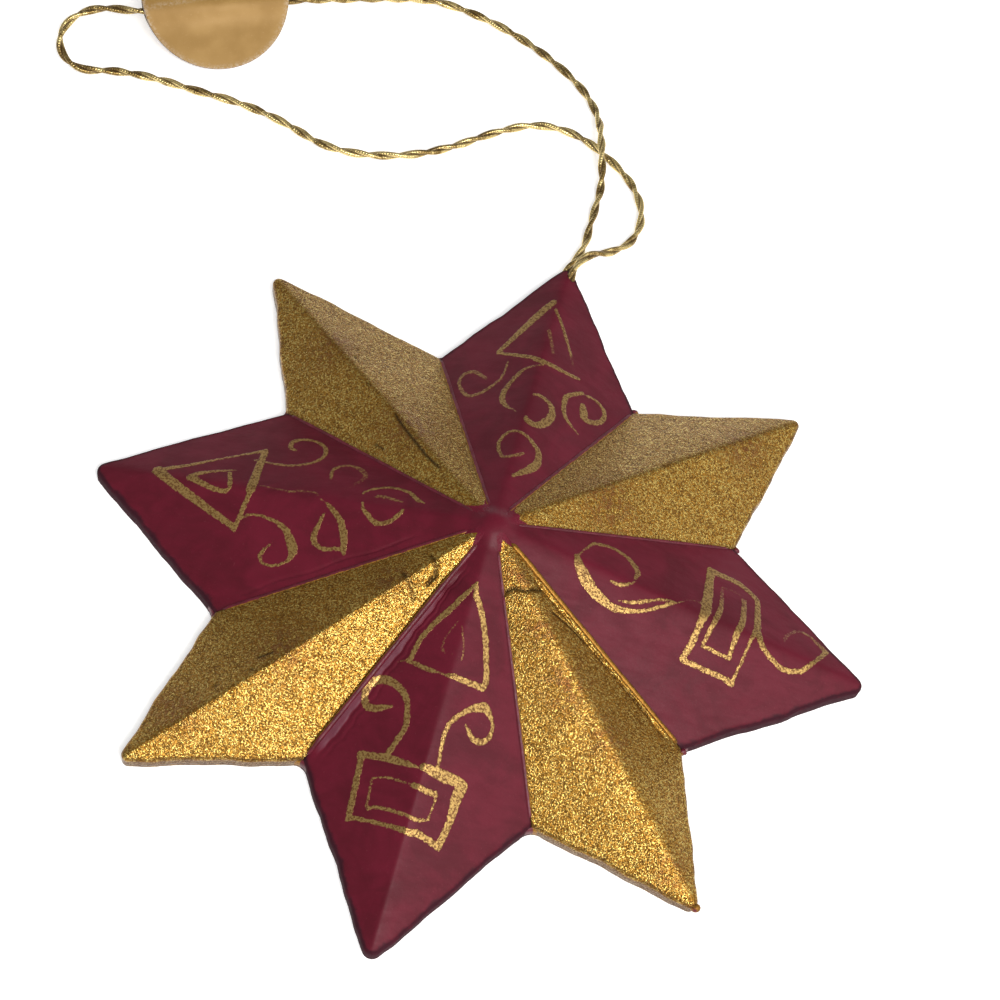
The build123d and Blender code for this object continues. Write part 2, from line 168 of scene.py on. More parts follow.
# Gold brushwork on the maroon points: each stroke's name, how strong its paint is at its start and its end,
# then x, y and the stroke's width along it
BRUSHWORK = {
    "maroon_point_top": {
        "triangle side": (1, 1, ((-0.61, 38.29, 0.87), (-2.09, 35.39, 0.95), (-5.25, 28.46, 0.56))),
        "triangle base": (0.95, 1, ((-5.27, 28.23, 0.52), (-1.22, 27.6, 0.62), (-0.17, 27.19, 0.73),
            (4.11, 27.34, 0.49), (4.87, 27.6, 0.38))),
        "triangle right": (0.7, 0.7, ((-0.17, 36.98, 0.42), (1.33, 34.33, 0.46), (3.16, 30.52, 0.34))),
        "triangle right faint": (0.4, 0.25, ((3.16, 30.52, 0.34), (4.01, 28.26, 0.3))),
        "triangle inner": (0.45, 0.35, ((-0.2, 32.76, 0.47), (1.06, 29.28, 0.41))),
        "left spiral": (0.5, 0.55, ((-5.66, 23.52, 0.36), (-7.07, 24.56, 0.64), (-7.79, 24.64, 0.51),
            (-8.4, 24.17, 0.4), (-8.72, 23.05, 0.4), (-8.39, 21.85, 0.4), (-7.67, 20.8, 0.47),
            (-7.02, 20.36, 0.53), (-6.25, 20.65, 0.46), (-5.53, 21.23, 0.43), (-4.26, 23.15, 0.36),
            (-3.92, 24.26, 0.29), (-3.84, 26.71, 0.26))),
        "s curve": (0.6, 0.6, ((0.24, 26.61, 0.28), (-1.42, 25.69, 0.36), (-2.08, 24.78, 0.47),
            (-3.08, 22.11, 0.57), (-3.24, 20.81, 0.71), (-3.09, 19.74, 0.67), (-2.5, 18.82, 0.49),
            (-1.18, 17.94, 0.17))),
        "crescent": (0.95, 0.95, ((0.05, 17.2, 0.5), (0.47, 16.69, 0.87), (1.25, 16.65, 0.87),
            (2.05, 17.25, 0.98), (2.6, 18.29, 1.06), (2.86, 19.33, 0.93), (2.7, 20.48, 0.75),
            (2.17, 21.14, 0.65), (0.84, 21.51, 0.43), (0.2, 21.23, 0.32))),
        "lower spiral": (0.5, 0.95, ((0.88, 11.58, 0.37), (0.34, 10.98, 0.47), (-1.02, 10.27, 0.4),
            (-1.61, 10.93, 0.42), (-2.01, 11.91, 0.42), (-1.98, 13.13, 0.42), (-1.52, 14.18, 0.37),
            (-0.81, 14.63, 0.37), (0.81, 14.37, 0.45), (2.26, 13.3, 0.62), (2.68, 12.39, 0.79),
            (2.7, 11.2, 0.93), (2.21, 9.95, 0.93), (0.53, 7.7, 0.41))),
        "right spiral one": (0.85, 0.85, ((5.67, 25.57, 0.45), (4.14, 23.95, 0.62), (3.87, 22.88, 0.66),
            (3.96, 21.65, 0.58), (4.32, 20.65, 0.54), (4.85, 19.98, 0.47), (6.41, 18.84, 0.18))),
        "right spiral two": (0.95, 0.95, ((6.14, 23.53, 0.83), (6.39, 22.65, 1.06), (6.62, 21.86, 0.91),
            (7.29, 21.72, 0.77), (8.17, 22.16, 0.7), (8.8, 23.07, 0.63), (8.9, 24.12, 0.56),
            (8.45, 24.97, 0.49), (7.79, 25.45, 0.41), (6.95, 25.64, 0.37), (6.1, 25.42, 0.3))),
    },
    "maroon_point_right": {
        "thin arc": (0.6, 0.6, ((9.84, 0.91, 0.19), (10.88, 3.04, 0.33), (11.64, 3.67, 0.38),
            (13.32, 4.04, 0.41), (15, 3.72, 0.51), (15.72, 3.27, 0.59), (16.36, 2.61, 0.72),
            (16.72, 1.94, 0.66), (16.5, 0.85, 0.38))),
        "inner blob": (1, 1, ((16.64, 0.57, 0.18), (16.09, -0.03, 0.36), (15.08, -0.59, 0.46),
            (13.98, -0.66, 0.25))),
        "thick crescent": (1, 1, ((9.65, 0.42, 0.75), (10.04, -0.33, 1.07), (11.22, -1.55, 1.42),
            (12.69, -2.48, 1.18), (14.56, -3.02, 0.85), (15.53, -3.02, 0.74), (17.7, -2.42, 0.44),
            (19.71, -1.25, 0.4), (21.29, -0.05, 0.36), (22.1, 0.4, 0.1))),
        "doubled": (0.9, 0.9, ((15.37, -2.19, 0.13), (17.05, -1.71, 0.42), (20.13, -0.17, 0.25),
            (21.58, 0.17, 0.25))),
        "faint link": (0.3, 0.3, ((22.2, 0.46, 0.15), (22.88, 1.23, 0.15), (24.33, 1.79, 0.16))),
        "outer left upper": (0.8, 0.85, ((25.11, 7.45, 0.96), (25.19, 0.91, 1.29))),
        "outer left lower": (1, 1, ((25.19, 0.91, 1.29), (24.84, -1.17, 0.77), (24.43, -3.48, 0.8),
            (23.9, -5.17, 0.62))),
        "outer low": (1, 1, ((23.9, -5.17, 0.62), (28.77, -5.22, 0.62), (30.07, -5.35, 0.76))),
        "outer right": (0.9, 0.9, ((30.16, -5.11, 0.42), (30.9, -0.89, 0.39), (31.27, 0.92, 0.65))),
        "outer top": (0.75, 0.85, ((25.12, 7.35, 0.86), (27.71, 7.39, 0.77), (29.03, 7.21, 0.68),
            (30.91, 6.17, 0.66), (31.25, 5.09, 0.69), (31.57, 1.09, 0.9))),
        "inner left": (0.35, 0.9, ((26.77, 5.42, 0.42), (26.89, 2.53, 0.56), (26.71, 1.17, 0.7),
            (25.77, -2.91, 0.41))),
        "inner low": (0.9, 0.9, ((25.79, -2.97, 0.41), (29.05, -3.09, 0.47))),
        "inner right": (0.9, 0.5, ((29.12, -3.06, 0.42), (29.07, -2.13, 0.53), (29.34, 0.22, 0.79),
            (29.69, 1.66, 0.75), (29.56, 4.94, 0.65))),
        "inner top": (0.3, 0.3, ((26.77, 5.42, 0.38), (27.87, 5.65, 0.38), (28.85, 5.59, 0.38),
            (29.54, 5.14, 0.38))),
        "s curve": (1, 1, ((31.57, 1.09, 0.97), (32.05, 0.13, 0.79), (32.76, -0.73, 0.63), (34.83, -1.73, 0.59),
            (35.97, -1.78, 0.56), (36.99, -1.46, 0.56), (37.93, -0.83, 0.57), (39.54, 1.5, 0.5),
            (40.14, 2.65, 0.69))),
        "s curve thin": (0.5, 0.4, ((40.14, 2.65, 0.69), (38.44, 3.77, 0.42), (37.6, 4.12, 0.35),
            (36.62, 3.99, 0.35), (35.69, 3.24, 0.34), (35.1, 2.28, 0.38), (34.92, 1.46, 0.26))),
        "link": (0.4, 0.4, ((22.22, 0.51, 0.18), (23.07, 1.32, 0.18), (24.59, 1.8, 0.18))),
    },
    "maroon_point_bottom": {
        "triangle left": (0.8, 0.8, ((-0.07, -6.71, 0.36), (-1.77, -9.37, 0.71), (-3.09, -11.19, 0.64),
            (-4.13, -13.07, 0.57), (-4.62, -15.34, 0.58))),
        "triangle right": (1, 1, ((0.02, -6.42, 0.22), (0.31, -7.9, 0.68), (0.85, -8.45, 0.67),
            (2.41, -11.3, 0.67), (3.7, -15.16, 0.65), (3.77, -16.01, 0.65))),
        "triangle base": (0.7, 1, ((-5.76, -15.68, 0.11), (-5.11, -15.48, 0.22), (-4.47, -15.55, 0.44),
            (-2.08, -16.24, 0.44), (-0.8, -16.47, 0.16), (0.36, -16.48, 0.6), (3.67, -16.32, 0.7))),
        "inner left": (0.4, 0.4, ((-0.78, -10.71, 0.12), (-1.53, -12.38, 0.16), (-1.71, -13.29, 0.21),
            (-1.62, -13.9, 0.28), (-1.16, -14.3, 0.16))),
        "inner right": (0.45, 0.45, ((-0.3, -11.2, 0.12), (0.57, -13.48, 0.22), (0.66, -14.68, 0.16))),
        "inner low": (0.35, 0.35, ((0.66, -14.68, 0.16), (0.06, -14.6, 0.13), (-0.7, -14.07, 0.1))),
        "left curl": (0.85, 0.85, ((-5.01, -20.32, 0.24), (-6.52, -20.73, 0.75), (-7.34, -20.71, 0.81),
            (-7.96, -20.23, 0.74), (-8.2, -19.44, 0.76), (-8.1, -18.61, 0.82), (-7.6, -17.98, 0.9),
            (-6.88, -17.67, 1), (-5.88, -17.81, 0.84), (-4.93, -18.28, 0.73), (-4.11, -19.01, 0.64),
            (-3.58, -19.9, 0.6), (-3.12, -21.73, 0.61), (-3.2, -22.81, 0.66), (-4.08, -25.32, 0.6))),
        "right curl": (1, 1, ((2.89, -20.39, 0.24), (3.92, -21.34, 0.64), (4.57, -21.51, 0.66),
            (5.23, -21.25, 0.6), (5.7, -20.64, 0.48), (5.81, -19.78, 0.4), (5.55, -18.95, 0.4),
            (5.02, -18.44, 0.64), (4.32, -18.07, 1.1), (2.76, -19.03, 0.58), (1.4, -20.78, 0.5),
            (1.14, -21.82, 0.5), (1.11, -22.9, 0.45), (1.41, -25.69, 0.31))),
        "square top left": (0.8, 0.8, ((-6.82, -25.63, 0.77), (-4.65, -25.65, 0.73), (-2.43, -25.92, 0.71),
            (-0.62, -26.21, 0.26))),
        "square top right": (1, 1, ((-0.13, -26.07, 0.76), (2.05, -26.14, 1.28), (3.91, -26.02, 1.03),
            (4.56, -26.21, 0.9))),
        "square left": (0.8, 0.8, ((-6.82, -25.63, 0.8), (-6.6, -26.81, 0.67), (-6.13, -32.19, 0.68))),
        "square low": (0.8, 1, ((-6.15, -32.12, 0.63), (-5.01, -32.11, 0.46), (-1.72, -32.41, 0.47),
            (0.08, -32.67, 0.7), (1.16, -32.48, 0.77), (2.03, -32.52, 0.72), (3.72, -32.86, 0.75))),
        "square right": (1, 1, ((4.43, -26.26, 1.12), (4.16, -27.3, 1.21), (4.1, -30.35, 0.78),
            (3.74, -32.46, 0.75))),
        "inner top left": (0.6, 0.6, ((-4.91, -27.94, 0.2), (-4.06, -27.64, 0.24), (-2.99, -27.64, 0.26),
            (-1.04, -27.94, 0.2))),
        "inner top right": (0.95, 0.95, ((-0.62, -28.02, 0.57), (0.98, -28.25, 0.65), (1.94, -28.1, 0.6))),
        "inner left side": (0.5, 0.5, ((-4.91, -27.94, 0.29), (-4.62, -30.94, 0.29))),
        "inner bottom": (0.85, 0.9, ((-4.41, -30.98, 0.39), (-3.54, -30.74, 0.33), (-0.67, -31.03, 0.39),
            (0.06, -31.25, 0.43), (1.03, -31.17, 0.45), (1.92, -30.8, 0.26))),
        "inner right side": (0.8, 0.8, ((2.07, -28.05, 0.21), (1.91, -30.74, 0.21))),
    },
    "maroon_point_left": {
        "triangle low": (1, 1, ((-38.11, 0.77, 1.39), (-35.45, -0.77, 1.01), (-27.61, -4.3, 0.6))),
        "triangle top": (0.65, 0.65, ((-38.11, 0.77, 0.88), (-36.82, 1.59, 0.53), (-35.33, 2.23, 0.49),
            (-30.99, 4.67, 0.27), (-27.37, 6.54, 0.5))),
        "triangle right": (1, 1, ((-27.37, 6.54, 0.71), (-27.09, 0.53, 1.13), (-27.06, -0.45, 0.64),
            (-27.53, -4.54, 0.53))),
        "inner top": (0.7, 0.5, ((-34.18, 0.52, 1.03), (-33.09, 1.51, 0.52), (-29.65, 2.66, 0.21))),
        "inner low": (0.95, 0.95, ((-34.18, 0.52, 0.95), (-31.75, -0.41, 0.6), (-29.97, -0.7, 0.53))),
        "inner right": (0.95, 0.9, ((-29.97, -0.7, 0.53), (-29.49, -0.25, 0.48), (-29.7, 0.83, 0.59),
            (-30.15, 2.02, 0.52))),
        "curl": (0.8, 1, ((-27.07, -3.18, 0.27), (-26.37, -2.77, 0.26), (-25.58, -2.66, 0.29),
            (-23.54, -2.97, 0.37), (-22.59, -3.36, 0.5), (-21.7, -4.01, 0.76), (-20.53, -5.52, 1.02),
            (-20.42, -6.27, 0.76), (-20.75, -6.96, 0.39), (-21.55, -7.46, 0.31), (-22.45, -7.65, 0.29),
            (-23.31, -7.51, 0.31), (-23.76, -6.99, 0.39), (-23.69, -6.34, 0.45), (-22.87, -5.07, 0.1))),
        "upper curl": (0.6, 0.6, ((-28.15, 4.72, 0.18), (-25.27, 4.53, 0.37), (-23.82, 4.65, 0.37),
            (-22.48, 5.11, 0.37), (-21.35, 5.81, 0.4), (-20.72, 6.75, 0.48), (-20.67, 7.92, 0.52),
            (-21.29, 8.84, 0.49), (-22.32, 9.33, 0.41), (-23.39, 9.39, 0.41), (-24.36, 9.1, 0.49),
            (-24.85, 8.45, 0.66), (-24.69, 7.66, 0.52), (-24, 7.34, 0.3))),
        "middle curl": (0.6, 0.25, ((-18.86, 3.38, 0.36), (-19.08, 4.46, 0.45), (-18.72, 5.33, 0.4),
            (-17.84, 5.86, 0.33), (-16.81, 5.85, 0.44), (-15.99, 5.46, 0.58), (-15.22, 4.71, 0.61),
            (-15.44, 3.88, 0.5), (-16.48, 2.33, 0.28), (-18.01, 1.56, 0.14))),
        "thin line": (0.4, 0.4, ((-26.19, 0.72, 0.14), (-22.74, 0.38, 0.32), (-21.8, 0.65, 0.36),
            (-19.94, 0.71, 0.25), (-19.17, 0, 0.16), (-18.49, -0.32, 0.14))),
        "drop right": (0.9, 0.9, ((-18.24, -0.42, 0.39), (-16.63, -1.69, 0.58), (-15.93, -2.54, 0.74),
            (-15.44, -3.55, 0.79), (-14.86, -5.29, 0.49))),
        "drop low": (0.9, 0.9, ((-14.92, -5.09, 0.49), (-15.75, -4.94, 0.34), (-16.68, -5.14, 0.46),
            (-17.7, -5.08, 0.41), (-18.34, -4.63, 0.49))),
        "drop left": (0.9, 0.9, ((-18.34, -4.63, 0.58), (-18.65, -3.99, 0.69), (-18.29, -1.65, 0.38))),
        "eye top": (0.9, 0.9, ((-7.96, 1.51, 0.17), (-8.74, 1.83, 0.59), (-9.73, 2.77, 0.49),
            (-10.96, 3.17, 0.39), (-12.12, 3.25, 0.36), (-13.19, 2.92, 0.32), (-14.2, 2.37, 0.32),
            (-14.81, 1.69, 0.32))),
        "eye low": (0.9, 0.9, ((-14.54, 0.33, 0.28), (-14.14, -0.55, 0.41), (-12.65, -1.7, 0.54),
            (-11.8, -1.72, 0.49), (-10.93, -1.33, 0.46), (-10.3, -0.64, 0.46), (-10.01, 0, 0.43))),
        "eye inner": (0.5, 0.5, ((-13.37, 1.34, 0.32), (-12.58, 1.62, 0.44), (-10.36, 1.22, 0.31))),
    },
}


# ---------------------------------------------------------------- settings

def length(name, description, default, low, high):
    return FloatProperty(name=name, description=description, default=default, min=low, max=high, unit="LENGTH")


def count(name, description, default, low, high):
    return IntProperty(name=name, description=description, default=default, min=low, max=high)


def colour(name, description, *value):
    return FloatVectorProperty(name=name, description=description, subtype="COLOR", size=4,
                               default=(*value, 1.0), min=0.0, max=1.0)


def level(name, description, default, high):
    return FloatProperty(name=name, description=description, default=default, min=0.0, max=high)


class TinStarSheet(bpy.types.PropertyGroup):
    """Sizes of the folded points."""

    ridge_softness: length(
        "Ridge softness", "How softly the fold along each point's ridge turns", 0.00050, 0.0, 0.002)
    rim_bend: length(
        "Rim bend", "Radius of the bend from the facets down to the side walls", 0.0006, 0.0001, 0.0012)
    waviness: length("Waviness", "How far the hand-folded facets are from flat", 0.00007, 0.0, 0.0005)
    middle_softness: length(
        "Middle softness", "Radius around the middle where the folds melt into the solder",
        0.0034, 0.001, 0.008)
    rows: count("Rows", "Rows of the mesh from the middle to the rim", 150, 40, 300)
    columns: count("Columns", "Columns of the mesh along each of a point's two edges", 86, 20, 200)


class TinStarPaint(bpy.types.PropertyGroup):
    """Colours of the paints and papers, as linear values."""

    maroon: colour("Maroon", "Body colour of the maroon lacquer", 0.150, 0.0080, 0.024)
    maroon_deep: colour("Maroon, thick", "The maroon where it was brushed on thickly", 0.102, 0.005, 0.015)
    gold: colour("Gold", "Body colour of the bronze powder paint", 0.375, 0.182, 0.027)
    gold_brown: colour(
        "Gold, thin", "The gold where its powder lies thinly on the dark undercoat", 0.165, 0.075, 0.011)
    undercoat: colour("Undercoat", "The reddish brown coat under the gold", 0.17, 0.055, 0.022)
    ink: colour("Brushwork", "Pale gold of the strokes on the maroon points", 0.50, 0.32, 0.110)
    label: colour("Label", "Satin gold face of the paper label", 0.47, 0.277, 0.080)
    label_edge: colour("Label edge", "Cut edge of the label's paper", 0.50, 0.46, 0.50)


class TinStarCord(bpy.types.PropertyGroup):
    """Sizes of the twisted hanging cord."""

    diameter: length("Diameter", "Thickness of the cord over both plies", 0.0011, 0.0005, 0.003)
    ply_radius: length("Ply radius", "Radius of one of the two plies", 0.00030, 0.0001, 0.001)
    twist_length: length(
        "Twist length", "Length of cord in which the plies go once round", 0.0074, 0.001, 0.02)


class TinStarLabel(bpy.types.PropertyGroup):
    """Sizes of the round paper label."""

    diameter: length("Diameter", "Diameter of the two round stickers", 0.019, 0.01, 0.03)
    paper: length("Paper", "Thickness of one sticker", 0.00015, 0.00005, 0.0005)


class TinStarStage(bpy.types.PropertyGroup):
    """Light and floor of the studio."""

    key_watts: level("Key light", "Power of the large soft lamp above the camera, in watts", 3.0, 50.0)
    fill_watts: level("Fill light", "Power of the weak lamp on the left, in watts", 0.15, 50.0)
    side_watts: level("Side light", "Power of the weak lamp on the right, in watts", 0.80, 50.0)
    sky_level: level("Sky level", "Strength of the even light from all round", 0.26, 2.0)


# ---------------------------------------------------------------- form of the folded star

def smooth_step(low, high, value):
    share = np.clip((value - low) / (high - low), 0.0, 1.0)
    return share * share * (3 - 2 * share)


def stretch(value, rise, full, fade, end):
    """1 along a stretch, from full to fade, and 0 before its rise and after its end."""
    return smooth_step(rise, full, value) * (1 - smooth_step(fade, end, value))


def bell(value, middle, width):
    """1 in the middle, falling smoothly to nothing on both sides."""
    return np.exp(-((value - middle) / width) ** 2)


def unit(vector):
    return vector / np.linalg.norm(vector)


def half_between(one, other):
    """Half the angle between two directions."""
    return 0.5 * math.acos(float(np.clip(one @ other, -1, 1)))


def circle(around):
    """Directions all round, one row for each."""
    turns = 2 * math.pi * np.arange(around) / around
    return np.column_stack([np.cos(turns), np.sin(turns)])


def arc(centre, radius, first, last, steps):
    """Places round a centre, the short way from one direction to another."""
    start = math.atan2(first[1], first[0])
    swing = (math.atan2(last[1], last[0]) - start + math.pi) % (2 * math.pi) - math.pi
    turns = start + swing * np.arange(steps + 1) / steps
    return centre + radius * np.column_stack([np.cos(turns), np.sin(turns)])


def at_angle(radius, degrees, height=0.0):
    """Point at that distance from the star's axis and that angle from +X."""
    turn = math.radians(degrees)
    return np.array([radius * math.cos(turn), radius * math.sin(turn), height])


def sharp_reach(reach, half_angle, tip_round):
    """Distance of a tip's sharp corner, so that its round ends at the reach."""
    arc_middle = reach - tip_round
    across = NOTCH_RADIUS * math.sin(math.radians(half_angle))
    along = arc_middle - NOTCH_RADIUS * math.cos(math.radians(half_angle))
    wall_angle = math.atan2(across, along) - math.asin(tip_round / math.hypot(across, along))
    return arc_middle + tip_round / math.sin(wall_angle)


def star_corners():
    """Sharp tips, their rounds, and the notches clockwise from the one right of the top point."""
    tips, rounds, notches = [], [], []
    for number in range(8):
        axis, pair = 90.0 - POINT_SPACING * number, number // 2
        if number % 2:
            reach, lean = TIP_RADIUS * GOLD_REACH_SHARES[pair], GOLD_LEANS[pair]
            half_angle, tip_round = POINT_SPACING - MAROON_HALF_ANGLE, GOLD_TIP_ROUND
        else:
            reach, lean, half_angle, tip_round = TIP_RADIUS, 0.0, MAROON_HALF_ANGLE, MAROON_TIP_ROUND
        tips.append(at_angle(sharp_reach(reach, half_angle, tip_round), axis + lean, RIM_HEIGHT))
        rounds.append(tip_round)
        notches.append(at_angle(
            NOTCH_RADIUS * NOTCH_REACH_SHARES[number], axis - half_angle + NOTCH_TURNS[number], RIM_HEIGHT))
    return tips, rounds, notches


TIPS, TIP_ROUNDS, NOTCHES = star_corners()
APEX = np.array([0.0, 0.0, STAR_HEIGHT])


def facet_height(tip, notch, x, y):
    """Height of the flat facet between a ridge and a valley."""
    normal = np.cross(tip - APEX, notch - APEX)
    return STAR_HEIGHT - (normal[0] * x + normal[1] * y) / normal[2]


def waves(x, y):
    """Slight unevenness of sheet folded by hand, from -1 to 1, the same at every run."""
    total = np.zeros_like(x)
    for turn, length, phase, share in ((12, 23.0, 0.4, 0.34), (74, 15.0, 2.1, 0.28), (131, 9.5, 4.4, 0.2),
                                       (38, 6.1, 1.3, 0.1), (103, 4.3, 5.2, 0.08)):
        angle = math.radians(turn)
        total += share * np.sin(2 * math.pi * (x * math.cos(angle) + y * math.sin(angle)) / length + phase)
    return total


def beside(line, places):
    """For each straight run of a line: where along it each place lies, from 0 to 1, and how far from it."""
    for start, end in zip(line, line[1:]):
        run = end - start
        share = np.clip((places - start) @ run / max(run @ run, 1e-12), 0.0, 1.0)
        yield share, np.linalg.norm(places - start - share[:, None] * run, axis=1)


def distance_from(line, places):
    """Distance of each place from a line of points."""
    return functools.reduce(np.minimum, (away for _, away in beside(np.asarray(line, float), places)))


def surface_height(number, x, y):
    """Height of one point's painted surface over the table, without its rim's bend."""
    settings = bpy.context.scene.tin_star_sheet
    soft = settings.ridge_softness / MM * RIDGE_SHARE.get(number, 1.0)
    right, left = (facet_height(TIPS[number], NOTCHES[side], x, y) for side in (number, number - 1))
    z = 0.5 * (right + left - np.sqrt((right - left) ** 2 + soft ** 2))
    radius = np.hypot(x, y)
    if number == BOTTOM:
        z = z + 0.05 * bell(right - left, 0.0, 0.32) * smooth_step(20.0, 26.0, radius)
    melt = 1 - smooth_step(1.0, settings.middle_softness / MM, radius)
    z = z * (1 - melt) + (STAR_HEIGHT - 0.06 - 0.155 * radius ** 2) * melt
    inside = smooth_step(2.0, 6.0, radius) * smooth_step(0.3, 3.0, z - RIM_HEIGHT)
    z = z + waves(x, y) * settings.waviness / MM * inside
    for line, half_width, depth, _ in MARKS.get(POINT_NAMES[number], ()):
        z = z - depth * bell(distance_from(line, np.column_stack([x, y])), 0.0, half_width)
    return z + valley_lip(number, x, y)


def valley_distance(number, x, y):
    """Distance from the fold between a point and the next one clockwise, above zero on the next one."""
    notch = unit(NOTCHES[number][:2])
    return x * notch[1] - y * notch[0]


def lip_width(radius):
    """Width of the lip of sheet on the lower left side of the bottom point."""
    ripple = 0.09 * np.sin(radius * 1.3) + 0.05 * np.sin(radius * 3.7)
    return 0.62 + 0.42 * smooth_step(8.0, 24.0, radius) + ripple


def valley_lip(number, x, y):
    """Raised lips and grooves of sheet and paint along three of the valleys."""
    radius = np.hypot(x, y)
    if number == BOTTOM - 1:
        away = valley_distance(number - 1, x, y)
        ripple = 1 + 0.25 * np.sin(radius * 1.7) + 0.18 * np.sin(radius * 4.1 + 1.0)
        lip = 0.16 * bell(away, 0.42, 0.20) - 0.14 * bell(away, 0.82, 0.16)
        return lip * ripple * stretch(radius, 5.0, 9.0, 26.0, 29.5)
    if number == BOTTOM:
        away, width = -valley_distance(number, x, y), lip_width(radius)
        lip = 0.50 * np.clip(1 - away / width, 0, 1)
        grooves = 0.08 * bell(away, width + 0.06, 0.12) + 0.08 * bell(away, width * 1.75, 0.14)
        return (lip - grooves) * stretch(radius, 4.0, 8.0, 27.0, 29.8)
    if number == BOTTOM + 2:
        middle = 1.1 + 0.12 * np.sin(radius * 0.9)
        groove = 0.13 * bell(valley_distance(number - 1, x, y), middle, 0.14)
        return -groove * stretch(radius, 7.0, 10.0, 25.0, 28.5)
    return np.zeros_like(x)


def notch_opening(number):
    """Half the angle between the two walls at a notch, the round of the solder in it, and the walls."""
    walls = [unit((tip - NOTCHES[number])[:2]) for tip in (TIPS[number], TIPS[(number + 1) % 8])]
    half = half_between(*walls)
    return half, COVE_DEPTH / (1 / math.sin(half) - 1), walls


def cove_arc(number, steps):
    """The solder's fillet in a notch: places from wall to wall, the way outwards, its reach on the walls."""
    half, cove_radius, walls = notch_opening(number)
    outward = unit(walls[0] + walls[1])
    reach = cove_radius / math.tan(half)
    centre = outward * (cove_radius / math.sin(half))
    places = arc(centre, cove_radius, walls[0] * reach - centre, walls[1] * reach - centre, steps)
    return NOTCHES[number][:2] + places, outward, reach


def edge_wobble(places):
    """How far the hand-cut edge is from straight at each place, in millimetres."""
    x, y = places.T
    return 0.22 * waves(x * 1.7 + 3.0, y * 1.7) + 0.07 * waves(x * 5.0, y * 5.0 + 2.0)


def point_outline(number, columns):
    """A point's edge from its left notch round the tip to its right notch: places, and how far each of them
    moves for each millimetre that the edge goes in."""
    tip, tip_round = TIPS[number][:2], TIP_ROUNDS[number]
    sides = (number - 1) % 8, number
    ways = [unit(NOTCHES[side][:2] - tip) for side in sides]
    half, axis = half_between(*ways), unit(ways[0] + ways[1])
    share = np.linspace(0, 1, columns)[:, None]
    share = 0.5 * (share + 0.5 * (1 - np.cos(math.pi * share)))
    edges, moves, outs = [], [], []
    for side, way in zip(sides, ways):
        notch, inward = NOTCHES[side][:2], unit(axis - (axis @ way) * way)
        start = tip + way * tip_round / math.tan(half)
        mitre = -unit(notch) / math.sin(notch_opening(side)[0])
        run = share * np.linalg.norm(start - notch)
        edge = notch + (start - notch) * share
        fade = np.minimum(1.0, np.minimum(run / 3.0, (run[-1] - run) / 2.0))
        near = 1 - np.minimum(1.0, run / 1.6)
        edges.append(edge + inward * edge_wobble(edge)[:, None] * fade)
        moves.append(inward * (1 - near) + mitre * near)
        outs.append(-inward)
    round_ = arc(0.0, 1.0, *outs, 9)[1:-1]
    centre = tip + axis * tip_round / math.sin(half)
    return (np.vstack([edges[0], centre + round_ * tip_round, edges[1][::-1]]),
            np.vstack([moves[0], -round_, moves[1][::-1]]))


def brush_strokes(name, places):
    """For each place, how far it is inside the nearest gold stroke, and how strong the paint is there."""
    inside, strength = np.full(len(places), -1.0), np.zeros(len(places))
    for start, end, row in BRUSHWORK[name].values():
        line = rounded_line(np.asarray(row, float))
        steps = np.arange(len(line))
        travelled = np.concatenate(([0.0], np.cumsum(np.hypot(*np.diff(line[:, :2], axis=0).T))))
        for number, (share, away) in enumerate(beside(line[:, :2], places)):
            wide, wider = line[number:number + 2, 2]
            depth = 0.5 * (wide + (wider - wide) * share) - away
            paint = start + (end - start) * np.interp(number + share, steps, travelled / travelled[-1])
            deeper = depth > inside
            inside[deeper], strength[deeper] = depth[deeper], paint[deeper]
    return np.clip(inside, -1.0, 1.0), strength


def rounded_line(row, pieces=4):
    """The stroke's line through its points, bent smoothly."""
    if len(row) < 3:
        return row
    padded = np.vstack([2 * row[0] - row[1], row, 2 * row[-1] - row[-2]])
    line = []
    for a, b, c, d in zip(padded, padded[1:], padded[2:], padded[3:]):
        for t in np.arange(pieces) / pieces:
            line.append(0.5 * ((2 * b) + (c - a) * t + (2 * a - 5 * b + 4 * c - d) * t * t
                               + (3 * b - a - 3 * c + d) * t ** 3))
    line = np.array(line + [row[-1]])
    line[:, 2] = np.maximum(line[:, 2], 0.05)
    return line


# ---------------------------------------------------------------- mesh helpers

def link(name, data):
    """A new object in the scene."""
    obj = bpy.data.objects.new(name, data)
    bpy.context.scene.collection.objects.link(obj)
    return obj


def new_object(name, vertices, faces, materials, face_materials=None, smooth=True):
    """A mesh object at the origin from places in millimetres."""
    mesh = bpy.data.meshes.new(name)
    mesh.from_pydata([tuple(v) for v in np.asarray(vertices) * MM], [], faces)
    for material in materials:
        mesh.materials.append(material)
    if face_materials is not None:
        mesh.polygons.foreach_set("material_index", np.asarray(face_materials, np.int32))
    mesh.polygons.foreach_set("use_smooth", np.full(len(mesh.polygons), smooth))
    mesh.validate()
    mesh.update()
    return link(name, mesh)


def close_and_orient(obj):
    """Merges doubled vertices and turns every face outwards."""
    made = bmesh.new()
    made.from_mesh(obj.data)
    bmesh.ops.remove_doubles(made, verts=made.verts, dist=1e-7)
    bmesh.ops.recalc_face_normals(made, faces=made.faces)
    made.to_mesh(obj.data)
    made.free()


def store(mesh, name, values):
    """Keeps one number for each vertex under that name."""
    attribute = mesh.attributes.new(name, "FLOAT", "POINT")
    attribute.data.foreach_set("value", np.asarray(values, np.float32))


def store_same(obj, **values):
    """Keeps the same number for every vertex under each name."""
    for name, value in values.items():
        store(obj.data, name, np.full(len(obj.data.vertices), value))


def band(low, high, around, closed=True):
    """Faces between two rows of vertices, each row given by its first one."""
    return [(low + step, low + (step + 1) % around, high + (step + 1) % around, high + step)
            for step in range(around if closed else around - 1)]


